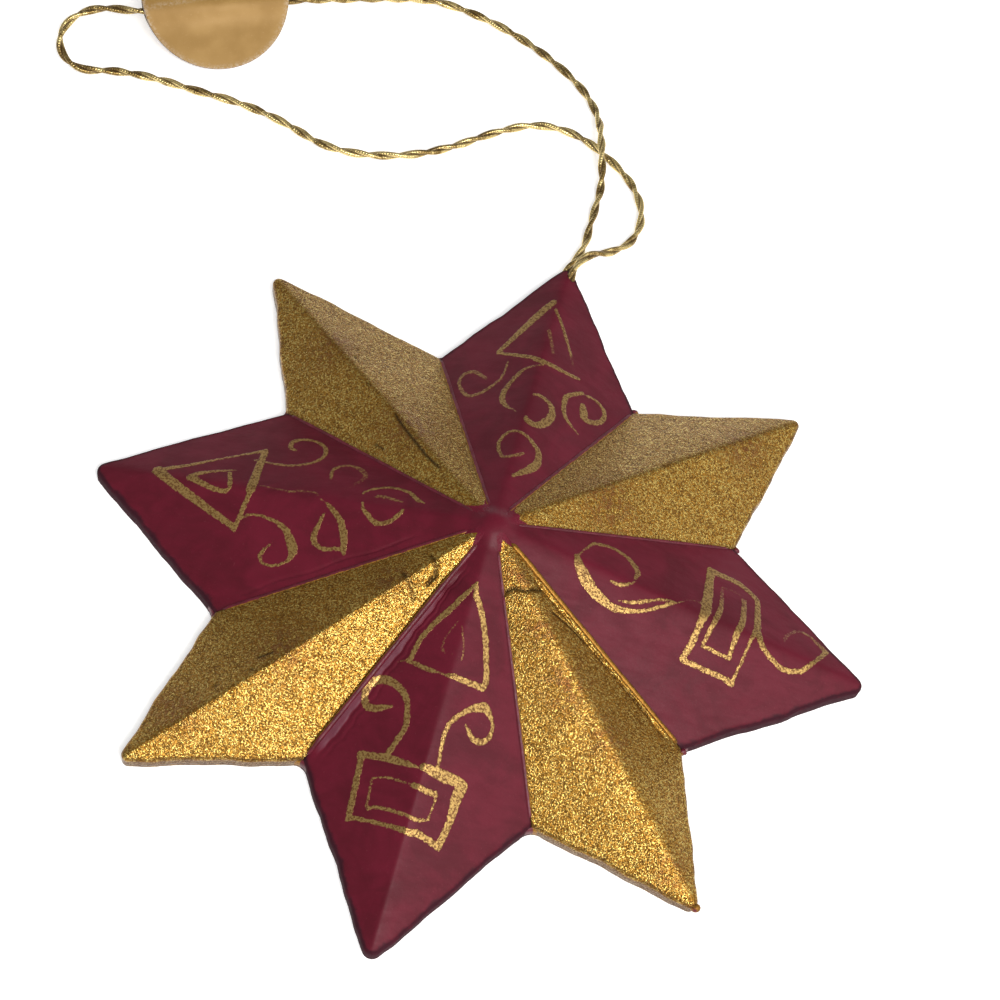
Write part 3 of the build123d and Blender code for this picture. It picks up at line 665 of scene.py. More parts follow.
def fan(tip, first, around):
    """Faces from one vertex to a closed row."""
    return [(tip, first + step, first + (step + 1) % around) for step in range(around)]


def ring_faces(base, rings, around):
    """Faces of rings of vertices that follow the one vertex in their middle."""
    faces = fan(base, base + 1, around)
    for first in range(base + 1, base + 1 + (rings - 1) * around, around):
        faces += band(first, first + around, around)
    return faces


def tube_faces(base, rows, around):
    """Faces of closed rows of vertices, one above the other, with a lid at both ends."""
    last = base + (rows - 1) * around
    faces = [tuple(range(base, base + around)), tuple(range(last, last + around))]
    for low in range(base, last, around):
        faces += band(low, low + around, around)
    return faces


def add_lump(vertices, faces, middle, low, high, swell, upright=None):
    """Adds a closed lump: its middle, its lowest and highest z, and its radius at each tilt and turn."""
    rings, around = 11, 18
    base = len(vertices)
    vertices.append((middle[0], middle[1], low))
    for ring in range(1, rings + 1):
        tilt = math.pi * ring / (rings + 1)
        for step in range(around):
            turn = 2 * math.pi * step / around
            radius = swell(tilt, turn)
            vertices.append((middle[0] + radius * math.sin(tilt) * math.cos(turn),
                             middle[1] + radius * math.sin(tilt) * math.sin(turn),
                             middle[2] - (upright or radius) * math.cos(tilt)))
    vertices.append((middle[0], middle[1], high))
    faces += ring_faces(base, rings, around)
    faces += fan(len(vertices) - 1, len(vertices) - 1 - around, around)


def gold_side(number, side, blend):
    """Share of gold paint beside a fold: half on it, all of it a little way onto the gold point."""
    toward = np.where((side > 0) == (number % 2 == 0), 1.0, 0.0)
    return 0.5 + (toward - 0.5) * np.clip(np.abs(side) / blend, 0, 1)


def places_of(obj):
    """An object's vertices, one row for each."""
    return np.array([tuple(vertex.co) for vertex in obj.data.vertices])


def finish_piece(obj, slot, *nodes):
    """Puts a piece on the star's one body and hides the CAD nodes that it stands for. The slot argument is not
    used.
    """
    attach(obj, "root")
    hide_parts(*nodes)
    return {"FINISHED"}


def run_modifiers(obj):
    """Replaces an object's mesh by what its modifiers make of it."""
    graph = bpy.context.evaluated_depsgraph_get()
    mesh = bpy.data.meshes.new_from_object(obj.evaluated_get(graph), preserve_all_data_layers=True,
                                           depsgraph=graph)
    if not len(mesh.polygons):
        raise RuntimeError(f"{obj.name}: its modifiers made nothing")
    obj.modifiers.clear()
    obj.data = mesh


# ---------------------------------------------------------------- node trees

class Tree:
    """A node tree, built in a few words."""

    def __init__(self, tree):
        self.tree = tree
        tree.nodes.clear()

    def join(self, value, socket):
        if isinstance(value, bpy.types.NodeSocket):
            self.tree.links.new(value, socket)
        else:
            socket.default_value = value

    def node(self, kind, values=None, **settings):
        """A node with its settings, and with numbers or other nodes' results on its inputs."""
        node = self.tree.nodes.new(kind)
        for key, value in settings.items():
            setattr(node, key, value)
        for key, value in (values or {}).items():
            self.join(value, node.inputs[key])
        return node

    def math(self, operation, *values):
        return self.node("ShaderNodeMath", dict(enumerate(values)), operation=operation).outputs[0]

    def times(self, a, b):
        return self.math("MULTIPLY", a, b)

    def plus(self, a, b):
        return self.math("ADD", a, b)

    def minus(self, a, b):
        return self.math("SUBTRACT", a, b)

    def ramp(self, value, low, high, low_to=0.0, high_to=1.0):
        """A number that goes smoothly from one value to another as its source goes from low to high."""
        return self.node("ShaderNodeMapRange", {
            "Value": value, "From Min": low, "From Max": high, "To Min": low_to, "To Max": high_to},
            interpolation_type="SMOOTHSTEP").outputs["Result"]


class Finish(Tree):
    """A material."""

    def __init__(self, name, shader="ShaderNodeBsdfPrincipled"):
        self.material = bpy.data.materials.new(name)
        self.material.use_nodes = True
        super().__init__(self.material.node_tree)
        self.shader = self.node(shader)
        self.output = self.node("ShaderNodeOutputMaterial", {"Surface": self.shader.outputs[0]})
        self.place = self.node("ShaderNodeTexCoord").outputs["Object"]

    def stretched(self, scale, turn):
        """The piece's own places, turned and then scaled, for streaks."""
        return self.node("ShaderNodeMapping", {
            "Vector": self.place, "Rotation": turn, "Scale": scale}).outputs["Vector"]

    def noise(self, size, detail=3.0, roughness=0.55, distortion=0.0, vector=None):
        """Noise whose blots are about that many millimetres wide."""
        return self.node("ShaderNodeTexNoise", {
            "Vector": vector or self.place, "Scale": 1.0 / (size * MM), "Detail": detail,
            "Roughness": roughness, "Distortion": distortion}).outputs["Fac"]

    def ragged(self, size, detail, roughness, reach):
        """Noise about zero, to fray the edge of something."""
        return self.times(self.minus(self.noise(size, detail, roughness), 0.5), reach)

    def attribute(self, name):
        return self.node("ShaderNodeAttribute", attribute_name=name).outputs["Fac"]

    def mix(self, factor, a, b):
        """Colour a, going to colour b by the factor."""
        return self.node("ShaderNodeMix", {0: factor, 6: a, 7: b}, data_type="RGBA").outputs[2]

    def blend(self, factor, a, b):
        """Number a, going to number b by the factor."""
        return self.node("ShaderNodeMix", {0: factor, 2: a, 3: b}).outputs[0]

    def relief(self, *layers):
        """Bumps on top of each other: the height of each, its depth in millimetres and its strength."""
        normal = {}
        for height, depth, strength in layers:
            bump = self.node("ShaderNodeBump", {
                "Strength": strength, "Distance": depth * MM, "Height": height, **normal})
            normal = {"Normal": bump.outputs["Normal"]}
        return normal["Normal"]

    def made(self, **values):
        """The material, with these on its shader's inputs."""
        for name, value in values.items():
            self.join(value, self.shader.inputs[name.replace("_", " ")])
        return self.material


class Maker(Tree):
    """A Geometry Nodes tree that works on a line."""

    def __init__(self, name, *inputs):
        super().__init__(bpy.data.node_groups.new(name, "GeometryNodeTree"))
        sockets = self.tree.interface
        sockets.new_socket("Geometry", in_out="INPUT", socket_type="NodeSocketGeometry")
        sockets.new_socket("Geometry", in_out="OUTPUT", socket_type="NodeSocketGeometry")
        kinds = {**dict.fromkeys(inputs, "NodeSocketFloat"), "Material": "NodeSocketMaterial"}
        self.identifiers = {
            label: sockets.new_socket(label, in_out="INPUT", socket_type=kind).identifier
            for label, kind in kinds.items()}
        self.inside = self.node("NodeGroupInput").outputs
        self.outside = self.node("NodeGroupOutput")

    def vector(self, operation, a, b):
        second = "Scale" if operation == "SCALE" else 1
        return self.node("ShaderNodeVectorMath", {0: a, second: b}, operation=operation).outputs[0]

    def keep(self, geometry, name, value):
        """Stores a number for each point under that name."""
        return self.node("GeometryNodeStoreNamedAttribute", {
            "Geometry": geometry, "Name": name, "Value": value},
            data_type="FLOAT", domain="POINT").outputs[0]

    def kept(self, name):
        return self.node("GeometryNodeInputNamedAttribute", {"Name": name}, data_type="FLOAT").outputs[0]

    def line(self):
        """The line that the tree is given, in even steps."""
        line = self.node("GeometryNodeMeshToCurve", {0: self.inside["Geometry"]}).outputs[0]
        return self.node("GeometryNodeResampleCurve", {"Curve": line, "Length": self.inside["Step"]},
                         mode="LENGTH").outputs[0]

    def tube(self, line, ring, **values):
        """A closed tube along a line."""
        return self.node("GeometryNodeCurveToMesh", {
            "Curve": line, "Profile Curve": ring, "Fill Caps": True, **values}).outputs[0]

    def run(self, obj, geometry, **values):
        """Ends the tree, smooth, real and with its material, and makes the object's mesh with it."""
        smooth = self.node("GeometryNodeSetShadeSmooth", {0: geometry})
        real = self.node("GeometryNodeRealizeInstances", {0: smooth.outputs[0]})
        dressed = self.node("GeometryNodeSetMaterial", {
            "Geometry": real.outputs[0], "Material": self.inside["Material"]})
        self.join(dressed.outputs[0], self.outside.inputs[0])
        modifier = obj.modifiers.new(self.tree.name, "NODES")
        modifier.node_group = self.tree
        for label, value in values.items():
            modifier[self.identifiers[label.replace("_", " ")]] = value
        obj.update_tag()
        run_modifiers(obj)


# ---------------------------------------------------------------- materials

def paint_settings():
    return bpy.context.scene.tin_star_paint


@functools.cache
def gold_finish():
    """Bronze powder paint: grainy, half metallic, thin and brown in spots, reddish where it is worn."""
    paint = paint_settings()
    finish = Finish("grainy_gold_paint")
    grain = finish.noise(0.20, 2.0, 0.70)
    coarse = finish.noise(0.80, 3.0, 0.62)
    cloud = finish.noise(7.0, 4.0, 0.55, 0.6)
    thin = finish.ramp(finish.plus(finish.times(grain, 0.70), finish.times(coarse, 0.30)), 0.43, 0.50, 1.0, 0.0)
    flake = finish.ramp(finish.noise(0.24, 2.0, 0.65), 0.47, 0.58)
    body = finish.mix(thin, finish.mix(flake, paint.gold, (0.61, 0.440, 0.125, 1.0)), paint.gold_brown)
    worn = finish.times(finish.attribute("undercoat"), finish.ramp(coarse, 0.42, 0.60))
    body = finish.mix(finish.times(worn, 0.75), body, paint.undercoat)
    # Painted shade in the creases, cracks, dents and valleys
    body = finish.mix(finish.times(finish.attribute("mark"), 0.9), body, (0.035, 0.018, 0.008, 1.0))
    # Painted shade on the rim's bend and down the side walls
    rim = finish.plus(finish.attribute("rim_distance"), finish.times(finish.noise(1.2, 3.0), 0.8))
    body = finish.mix(finish.ramp(rim, 0.35, 0.75, 0.75, 0.0), body, (0.10, 0.045, 0.018, 1.0))
    hub = finish.plus(finish.attribute("hub_distance"), finish.times(finish.noise(0.8, 3.0), 0.9))
    hub = finish.ramp(hub, 0.66, 0.80, 1.0, 0.0)
    metallic = finish.times(finish.blend(thin, 0.95, 0.70), finish.ramp(hub, 0.0, 1.0, 1.0, 0.0))
    roughness = finish.blend(thin, finish.ramp(flake, 0.0, 1.0, 0.29, 0.20), 0.42)
    return finish.made(
        Base_Color=finish.mix(hub, body, paint.maroon), Metallic=metallic,
        Roughness=finish.blend(hub, roughness, 0.45), Specular_IOR_Level=0.2,
        Normal=finish.relief((grain, 0.10, 0.8), (coarse, 0.11, 0.5), (cloud, 0.5, 0.25)))


@functools.cache
def maroon_finish():
    """Brushed satin lacquer in deep maroon, with the gold brushwork on it."""
    paint = paint_settings()
    finish = Finish("maroon_brushed_lacquer")
    cloud = finish.noise(6.0, 4.0, 0.6, 0.8)
    streak = finish.noise(1.0, 3.0, 0.65, 0.4, finish.stretched((0.22, 1.0, 1.0), (0.0, 0.0, 0.5)))
    thick = finish.ramp(finish.plus(finish.times(cloud, 0.75), finish.times(streak, 0.25)), 0.34, 0.66)
    body = finish.mix(thick, paint.maroon, paint.maroon_deep)
    speck = finish.ramp(finish.noise(0.25, 2.0, 0.6), 0.66, 0.76, 0.0, 0.25)
    body = finish.mix(speck, body, (0.26, 0.06, 0.075, 1.0))
    mark = finish.attribute("mark")
    # Painted shade in the creases, cracks, dents and valleys
    body = finish.mix(finish.times(mark, 0.9), body, (0.018, 0.003, 0.006, 1.0))
    # Painted highlight on the bottom point's raised lip, where the value is below zero
    body = finish.mix(finish.ramp(mark, -0.8, -0.1, 0.4, 0.0), body, (0.18, 0.060, 0.095, 1.0))
    rim = finish.attribute("rim_distance")
    # Painted shade on the rim's bend and down the side walls
    edge = finish.ramp(finish.plus(rim, finish.ragged(1.6, 4.0, 0.65, 1.1)), 0.12, 0.60, 0.85, 0.0)
    body = finish.mix(edge, body, (0.030, 0.005, 0.012, 1.0))
    inside = finish.plus(finish.attribute("stroke_inside"), finish.ragged(0.42, 3.0, 0.7, 0.46))
    grain = finish.noise(0.30, 3.0, 0.72)
    strength = finish.plus(finish.attribute("stroke_strength"), 0.24)
    cover = finish.ramp(finish.minus(strength, finish.times(grain, 0.7)), 0.16, 0.56)
    ink = finish.times(finish.ramp(inside, -0.03, 0.07), cover)
    gaps = finish.ramp(finish.noise(0.26, 2.0, 0.7), 0.42, 0.54, 1.0, 0.0)
    pale = finish.mix(gaps, paint.ink, (0.19, 0.090, 0.030, 1.0))
    satin = finish.blend(finish.ramp(rim, 0.0, 0.7, 1.0, 0.0), finish.ramp(streak, 0.3, 0.7, 0.42, 0.54), 0.85)
    laid = finish.times(ink, finish.ramp(grain, 0.2, 0.8, 0.6, 1.0))
    return finish.made(
        Base_Color=finish.mix(ink, body, pale),
        Metallic=finish.times(ink, finish.ramp(gaps, 0.0, 1.0, 0.90, 0.40)),
        Roughness=finish.blend(ink, satin, 0.38), Specular_IOR_Level=0.22,
        Normal=finish.relief(
            (streak, 0.04, 0.2), (finish.noise(0.35, 3.0, 0.6), 0.035, 0.5), (laid, 0.06, 0.7)))


@functools.cache
def solder_finish():
    """Solder under the paint: maroon where the bead lies towards a maroon point, gold towards a gold one."""
    paint = paint_settings()
    finish = Finish("painted_solder")
    share = finish.plus(finish.attribute("gold_share"), finish.ragged(0.9, 4.0, 0.65, 0.9))
    golden = finish.ramp(share, 0.42, 0.58)
    grain = finish.noise(0.34, 3.0, 0.7)
    gold = finish.mix(finish.ramp(grain, 0.40, 0.56, 0.75, 0.0), paint.gold, paint.gold_brown)
    maroon = finish.mix(finish.ramp(finish.noise(1.6, 3.0), 0.4, 0.62), paint.maroon, paint.maroon_deep)
    return finish.made(
        Base_Color=finish.mix(golden, maroon, gold), Metallic=finish.times(golden, 0.75),
        Roughness=finish.ramp(grain, 0.3, 0.7, 0.38, 0.52),
        Normal=finish.relief((finish.noise(0.6, 4.0, 0.65), 0.12, 0.5)))


@functools.cache
def back_finish():
    """Plain back of the star: maroon lacquer brushed thinly, with scuffs from what it has lain on."""
    paint = paint_settings()
    finish = Finish("back_lacquer")
    streak = finish.noise(1.4, 4.0, 0.65, 0.5, finish.stretched((0.15, 1.0, 1.0), (0.0, 0.0, 0.9)))
    cloud = finish.noise(9.0, 4.0, 0.6, 0.7)
    body = finish.mix(finish.ramp(streak, 0.38, 0.62), paint.maroon, paint.maroon_deep)
    scuff = finish.times(finish.ramp(finish.noise(0.45, 4.0, 0.75), 0.60, 0.70), finish.ramp(cloud, 0.50, 0.64))
    return finish.made(
        Base_Color=finish.mix(finish.times(scuff, 0.7), body, (0.33, 0.27, 0.25, 1.0)),
        Metallic=finish.times(scuff, 0.5), Roughness=finish.ramp(streak, 0.3, 0.7, 0.40, 0.55),
        Normal=finish.relief((streak, 0.10, 0.4), (cloud, 0.4, 0.3)))


@functools.cache
def thread_finish():
    """Metallic thread: flat gold filament wound round each ply, with painted shade between the filament's turns
    and in the grooves between the plies.
    """
    finish = Finish("metallic_gold_thread")
    around = finish.times(finish.attribute("around"), 2 * math.pi)
    along = finish.times(finish.attribute("along"), 2 * math.pi / (0.34 * MM))
    winding = finish.ramp(finish.math("SINE", finish.plus(along, around)), -0.9, 0.7)
    groove = finish.attribute("groove")
    tone = finish.ramp(finish.noise(2.6, 3.0, 0.6), 0.45, 0.57)
    body = finish.mix(tone, (0.90, 0.71, 0.31, 1.0), (0.30, 0.20, 0.065, 1.0))
    glint = finish.ramp(finish.noise(0.4, 2.0, 0.6), 0.52, 0.68, 0.0, 0.6)
    body = finish.mix(glint, body, (0.80, 0.62, 0.30, 1.0))
    # Painted shade between the filament's turns
    between = finish.times(finish.ramp(winding, 0.0, 1.0, 1.0, 0.0), 0.28)
    body = finish.mix(between, body, (0.12, 0.06, 0.015, 1.0))
    # Painted shade in the grooves where the two plies meet
    body = finish.mix(finish.ramp(groove, 0.55, 1.0, 0.0, 0.8), body, (0.09, 0.045, 0.012, 1.0))
    return finish.made(
        Base_Color=body, Metallic=finish.ramp(groove, 0.5, 1.0, 0.95, 0.4),
        Roughness=finish.ramp(winding, 0.0, 1.0, 0.36, 0.22),
        Normal=finish.relief((winding, 0.03, 0.6), (finish.noise(1.3, 2.0, 0.5), 0.30, 0.6)))


@functools.cache
def label_finish():
    """Satin gold face of the label: faint paper grain, slightly rubbed, and bare."""
    finish = Finish("satin_gold_paper")
    fibre = finish.noise(0.30, 4.0, 0.65)
    cloud = finish.noise(4.5, 3.0, 0.5)
    body = finish.mix(finish.ramp(cloud, 0.35, 0.68), paint_settings().label, (0.40, 0.228, 0.060, 1.0))
    body = finish.mix(finish.ramp(fibre, 0.58, 0.74, 0.0, 0.35), body, (0.58, 0.39, 0.16, 1.0))
    rubbed = finish.times(finish.attribute("edge_wear"), finish.ramp(fibre, 0.40, 0.62))
    return finish.made(
        Base_Color=finish.mix(rubbed, body, (0.60, 0.48, 0.34, 1.0)), Metallic=0.12,
        Roughness=finish.ramp(cloud, 0.3, 0.7, 0.52, 0.62), Normal=finish.relief((fibre, 0.02, 0.5)))


@functools.cache
def label_edge_finish():
    """Cut edge of the label's paper, with the pale layer of its backing."""
    finish = Finish("label_cut_edge")
    fibre = finish.noise(0.10, 3.0, 0.6)
    pale = finish.ramp(fibre, 0.35, 0.65)
    return finish.made(
        Base_Color=finish.mix(pale, paint_settings().label_edge, (0.36, 0.32, 0.36, 1.0)),
        Roughness=finish.ramp(fibre, 0.3, 0.7, 0.65, 0.85), Normal=finish.relief((fibre, 0.02, 0.6)))


def floor_finish():
    """Plain pale floor: white to the camera and in reflections where no shadow falls on it."""
    finish = Finish("pale_floor", "ShaderNodeBsdfDiffuse")
    path = finish.node("ShaderNodeLightPath").outputs
    seen = finish.math("MAXIMUM", path["Is Camera Ray"], path["Is Glossy Ray"])
    seen = finish.math("MAXIMUM", seen, path["Is Transmission Ray"])
    glow = finish.node("ShaderNodeEmission", {"Strength": finish.times(seen, 0.55)})
    total = finish.node("ShaderNodeAddShader", {0: finish.shader.outputs[0], 1: glow.outputs[0]})
    finish.join(total.outputs[0], finish.output.inputs["Surface"])
    return finish.made(Color=(0.93, 0.93, 0.93, 1.0))


# ---------------------------------------------------------------- pieces

def twist(obj, ply_radius, ply_offset, twist_length, step):
    """Makes a line into two plies twisted round it, each wound with fine filament."""
    maker = Maker("twisted_plies", "Ply radius", "Ply offset", "Twist length", "Step")
    even = maker.line()
    along = maker.node("GeometryNodeSplineParameter").outputs["Length"]
    around = maker.node("GeometryNodeSplineParameter").outputs["Factor"]
    normal = maker.node("GeometryNodeInputNormal").outputs[0]
    across = maker.vector("CROSS_PRODUCT", maker.node("GeometryNodeInputTangent").outputs[0], normal)
    unevenness = maker.node("ShaderNodeTexNoise", {"Scale": 95.0, "Detail": 1.0}).outputs[0]
    both = maker.node("GeometryNodeJoinGeometry")
    for phase in (0.0, math.pi):
        turn = maker.math("DIVIDE", maker.times(along, 2 * math.pi), maker.inside["Twist length"])
        turn = maker.plus(maker.plus(turn, phase), maker.times(unevenness, 1.6))
        parts = [maker.vector("SCALE", way, maker.times(maker.math(wave, turn), maker.inside["Ply offset"]))
                 for way, wave in ((normal, "COSINE"), (across, "SINE"))]
        moved = maker.node("GeometryNodeSetPosition", {
            "Geometry": even, "Offset": maker.vector("ADD", *parts)})
        ring = maker.node("GeometryNodeCurvePrimitiveCircle", {
            "Resolution": 10, "Radius": maker.inside["Ply radius"]})
        maker.join(maker.tube(maker.keep(moved.outputs[0], "along", along),
                              maker.keep(ring.outputs[0], "around", around)), both.inputs[0])
    maker.run(obj, both.outputs[0], Ply_radius=ply_radius, Ply_offset=ply_offset, Twist_length=twist_length,
              Step=step, Material=thread_finish())


def run_beads(obj):
    """Makes lines into beads of solder, thick and thin by turns."""
    maker = Maker("solder_beads", "Unevenness", "Lump size", "Seed", "Step")
    even = maker.line()
    fineness = maker.math("DIVIDE", 1.0, maker.inside["Lump size"])
    lumps = maker.node("ShaderNodeTexNoise", {
        "W": maker.inside["Seed"], "Scale": fineness, "Detail": 2.0}, noise_dimensions="4D").outputs[0]
    swing = maker.plus(1.0, maker.times(maker.minus(lumps, 0.5), maker.inside["Unevenness"]))
    factor = maker.node("GeometryNodeSplineParameter").outputs["Factor"]
    ends = maker.math("SQRT", maker.times(maker.times(factor, maker.minus(1.0, factor)), 60.0))
    taper = maker.math("MAXIMUM", maker.math("MINIMUM", ends, 1.0), 0.12)
    wide = maker.times(maker.times(maker.kept("bead_radius"), swing), taper)
    even = maker.keep(even, "bead_width", wide)
    ring = maker.node("GeometryNodeCurvePrimitiveCircle", {"Resolution": 12, "Radius": 1.0}).outputs[0]
    maker.run(obj, maker.tube(even, ring, Scale=maker.kept("bead_width")),
              Unevenness=0.55, Lump_size=0.0031, Seed=3.0, Step=0.0003, Material=solder_finish())


def painted_shade_and_highlight_at(number, x, y):
    """Painted shade in a point's creases, cracks, dents and valleys, and below zero a painted highlight on the
    bottom point's raised lip.
    """
    dark, radius = np.zeros_like(x), np.hypot(x, y)
    # Painted shade in each crease, crack and dent
    for line, half_width, _, most in MARKS.get(POINT_NAMES[number], ()):
        away = distance_from(line, np.column_stack([x, y]))
        dark = np.maximum(dark, most * bell(away, 0.0, half_width * 0.8))
    # Painted shade along the valley folds between the points
    valley = bell(nearest_valley(number, x, y), 0.0, 0.28)
    dark = np.maximum(dark, 0.55 * valley * smooth_step(3.0, 7.0, radius))
    if number == BOTTOM:
        # A painted highlight along the bottom point's raised lip, as values below zero
        away = -valley_distance(number, x, y)
        lip = smooth_step(0.15, 0.3, away) * (1 - smooth_step(-0.12, 0.02, away - lip_width(radius)))
        dark = dark - 0.9 * lip * stretch(radius, 6.0, 10.0, 27.0, 29.0)
    return dark


def nearest_valley(number, x, y):
    """Distance from the nearer one of a point's two valleys."""
    return np.minimum(*(np.abs(valley_distance(side, x, y)) for side in (number, number - 1)))


def hub_edge(x, y):
    """How far the maroon solder of the middle reaches in each direction."""
    angle = np.degrees(np.arctan2(y, x)) % 360
    reach = np.interp(angle, np.arange(9) * POINT_SPACING, (2.3, 2.9, 2.4, 2.65, 2.2, 1.9, 2.1, 1.65, 2.3))
    return reach + 0.08 * np.sin(np.radians(angle) * 11) + 0.06 * np.sin(np.radians(angle) * 17 + 1)


def folded_point(number):
    """One painted point: facets folded at the ridge, bent rim, side walls, closed below."""
    settings = bpy.context.scene.tin_star_sheet
    name, golden = POINT_NAMES[number], number % 2 == 1
    bend = settings.rim_bend / MM
    edge, inwards = point_outline(number, settings.columns)
    columns = len(edge)

    def ring(inward, z):
        return np.column_stack([edge + inwards * inward[:, None], z])

    edge_z = surface_height(number, *edge.T)
    rise = (surface_height(number, *(edge + inwards * 0.5).T) - edge_z) / 0.5
    lean = np.arctan(rise)
    rim = edge + inwards * (bend * (1 - np.sin(lean)))[:, None]
    hub = rim / np.hypot(*rim.T)[:, None] * HUB_RADIUS
    rings = []
    for share in np.linspace(0, 1, settings.rows):
        flat = hub + (rim - hub) * share
        rings.append(np.column_stack([flat, surface_height(number, *flat.T)]))
    top = len(rings) * columns
    wall_top = edge_z + rise * bend - bend * np.sqrt(1 + rise ** 2)
    for share in (0.8, 0.6, 0.4, 0.2, 0.0):
        angle = (math.pi / 2 - lean) * share
        rings.append(ring(bend * (1 - np.cos(angle)), wall_top + bend * np.sin(angle)))
    column = np.arange(columns)
    bulge = 0.05 * waves(*(edge * 2.3).T) * np.minimum(1, np.minimum(column, columns - 1 - column) / 6.0)
    for share in (0.34, 0.67, 1.0):
        rings.append(ring(bulge * math.sin(math.pi * share), wall_top * (1 - share) + PLATE_TOP * share))
    rings.append(np.column_stack([hub, np.full(columns, PLATE_TOP)]))

    places = np.vstack(rings)
    starts = [number * columns for number in range(len(rings))]
    faces = [tuple(starts), tuple(start + columns - 1 for start in starts)[::-1]]
    for low, high in zip(starts, starts[1:] + starts[:1]):
        faces += band(low, high, columns, closed=False)
    obj = new_object(name + "_sheet", places, faces, [gold_finish() if golden else maroon_finish()])
    x, y, z = places.T
    # Distance from the edge on top and height on the walls, which place the painted shade of the rim and walls
    distance = np.concatenate([distance_from(edge, places[:top, :2]), np.clip(z[top:] - 1.35, -1.2, 0.15)])
    distance[-columns:] = -0.2
    store(obj.data, "rim_distance", np.clip(distance, -2.0, 3.0))
    # Painted shade in creases, dents and valleys, and a painted highlight on the bottom point's lip
    store(obj.data, "mark", painted_shade_and_highlight_at(number, x, y))
    if golden:
        patch = np.zeros(len(places))
        for px, py, reach in UNDERCOAT[name]:
            patch = np.maximum(patch, np.exp(-((x - px) ** 2 + (y - py) ** 2) / reach ** 2))
        store(obj.data, "undercoat", patch)
        tongue = 1.5 * bell(nearest_valley(number, x, y), 0.0, 0.4)
        store(obj.data, "hub_distance", np.clip(np.hypot(x, y) - hub_edge(x, y) - tongue, -2, 4))
    else:
        inside, strength = brush_strokes(name, places[:, :2])
        strength[-columns:] = 0
        store(obj.data, "stroke_inside", inside)
        store(obj.data, "stroke_strength", strength)
    close_and_orient(obj)
    return obj


def whole_height(x, y):
    """Height of the star's painted surface, whichever point it is on."""
    z = np.zeros_like(x)
    angle = np.degrees(np.arctan2(y, x))
    for number in range(8):
        low, high = (math.degrees(math.atan2(*NOTCHES[side][1::-1])) for side in (number, number - 1))
        here = (angle - low) % 360 < (high - low) % 360
        z[here] = surface_height(number, x[here], y[here])
    return z


def hanging_line():
    """Places along the cord's smooth spline, in metres."""
    curve = bpy.data.curves.new("cord_spline", "CURVE")
    curve.dimensions = "3D"
    curve.resolution_u = 16
    spline = curve.splines.new("NURBS")
    spline.points.add(len(CORD_ROUTE) - 1)
    for point, place in zip(spline.points, CORD_ROUTE):
        point.co = (*(MM * number for number in place), 1.0)
    spline.order_u = 3
    spline.use_endpoint_u = True
    holder = link("cord_spline", curve)
    bpy.context.view_layer.update()
    mesh = bpy.data.meshes.new_from_object(holder)
    line = [vertex.co.copy() for vertex in mesh.vertices]
    bpy.data.objects.remove(holder)
    bpy.data.curves.remove(curve)
    bpy.data.meshes.remove(mesh)
    return line


def line_object(name, lines, **values):
    """A mesh of bare edges that follows lines of places in metres."""
    vertices, edges = [], []
    for line in lines:
        edges += [(len(vertices) + step, len(vertices) + step + 1) for step in range(len(line) - 1)]
        vertices += [tuple(place) for place in line]
    mesh = bpy.data.meshes.new(name)
    mesh.from_pydata(vertices, edges, [])
    for label, numbers in values.items():
        store(mesh, label, numbers)
    return link(name, mesh)


def carve(obj, vertices, faces):
    """Cuts a closed form, in millimetres, out of a piece."""
    cutter = new_object("cutter", vertices, faces, [], smooth=False)
    close_and_orient(cutter)
    modifier = obj.modifiers.new("mouth", "BOOLEAN")
    modifier.operation = "DIFFERENCE"
    modifier.solver = "EXACT"
    modifier.object = cutter
    run_modifiers(obj)
    bpy.data.objects.remove(cutter)


def tube_round(line, radius, sides=14):
    """Vertices of a straight-sided tube along a line of places."""
    rows = []
    for place, ahead in zip(line, np.gradient(line, axis=0)):
        side = unit(np.cross(ahead, (0.0, 0.0, 1.0)))
        rows.append(place + radius * (circle(sides) @ np.array([side, np.cross(side, unit(ahead))])))
    return np.vstack(rows), tube_faces(0, len(rows), sides)


# ---------------------------------------------------------------- operators

class TINSTAR_OT_stage(bpy.types.Operator):
    """Sets up the camera, the pale floor and the soft studio light"""

    bl_idname = "tinstar.stage"
    bl_label = "Stage"

    def execute(self, context):
        camera = bpy.data.cameras.new("photo_camera")
        camera.lens = CAMERA_LENS
        camera.sensor_width = CAMERA_SENSOR
        camera.sensor_fit = "HORIZONTAL"
        camera.clip_start = 0.01
        holder = link("photo_camera", camera)
        holder.location = CAMERA_PLACE
        holder.rotation_euler = CAMERA_TURN
        context.scene.camera = holder

        half = 1.5
        corners = [(-half, -half, 0), (half, -half, 0), (half, half, 0), (-half, half, 0)]
        mesh = bpy.data.meshes.new("floor")
        mesh.from_pydata(corners, [], [(0, 1, 2, 3)])
        mesh.materials.append(floor_finish())
        floor = link("floor", mesh)

        for name, place, size, watts, colour in LAMPS:
            light = bpy.data.lights.new(name, "AREA")
            light.shape = "DISK"
            light.size = size
            light.energy = getattr(context.scene.tin_star_stage, watts)
            light.color = colour
            holder = link(name, light)
            holder.location = place
            aim = Vector((0.0, 0.0, 0.01)) - Vector(place)
            holder.rotation_euler = aim.to_track_quat("-Z", "Y").to_euler()
        self.sky(context)
        context.scene.view_settings.view_transform = "Standard"
        return {"FINISHED"}

    def sky(self, context):
        """Even studio surround: dim low down, and as bright as its level overhead."""
        world = bpy.data.worlds.new("studio_surround")
        context.scene.world = world
        world.use_nodes = True
        sky = Tree(world.node_tree)
        direction = sky.node("ShaderNodeTexCoord").outputs["Generated"]
        upward = sky.node("ShaderNodeSeparateXYZ", {0: direction}).outputs["Z"]
        surround = sky.node("ShaderNodeBackground", {
            "Color": (1.0, 1.0, 1.0, 1.0),
            "Strength": sky.ramp(upward, 0.02, 0.20, 0.30, context.scene.tin_star_stage.sky_level)})
        sky.node("ShaderNodeOutputWorld", {"Surface": surround.outputs[0]})


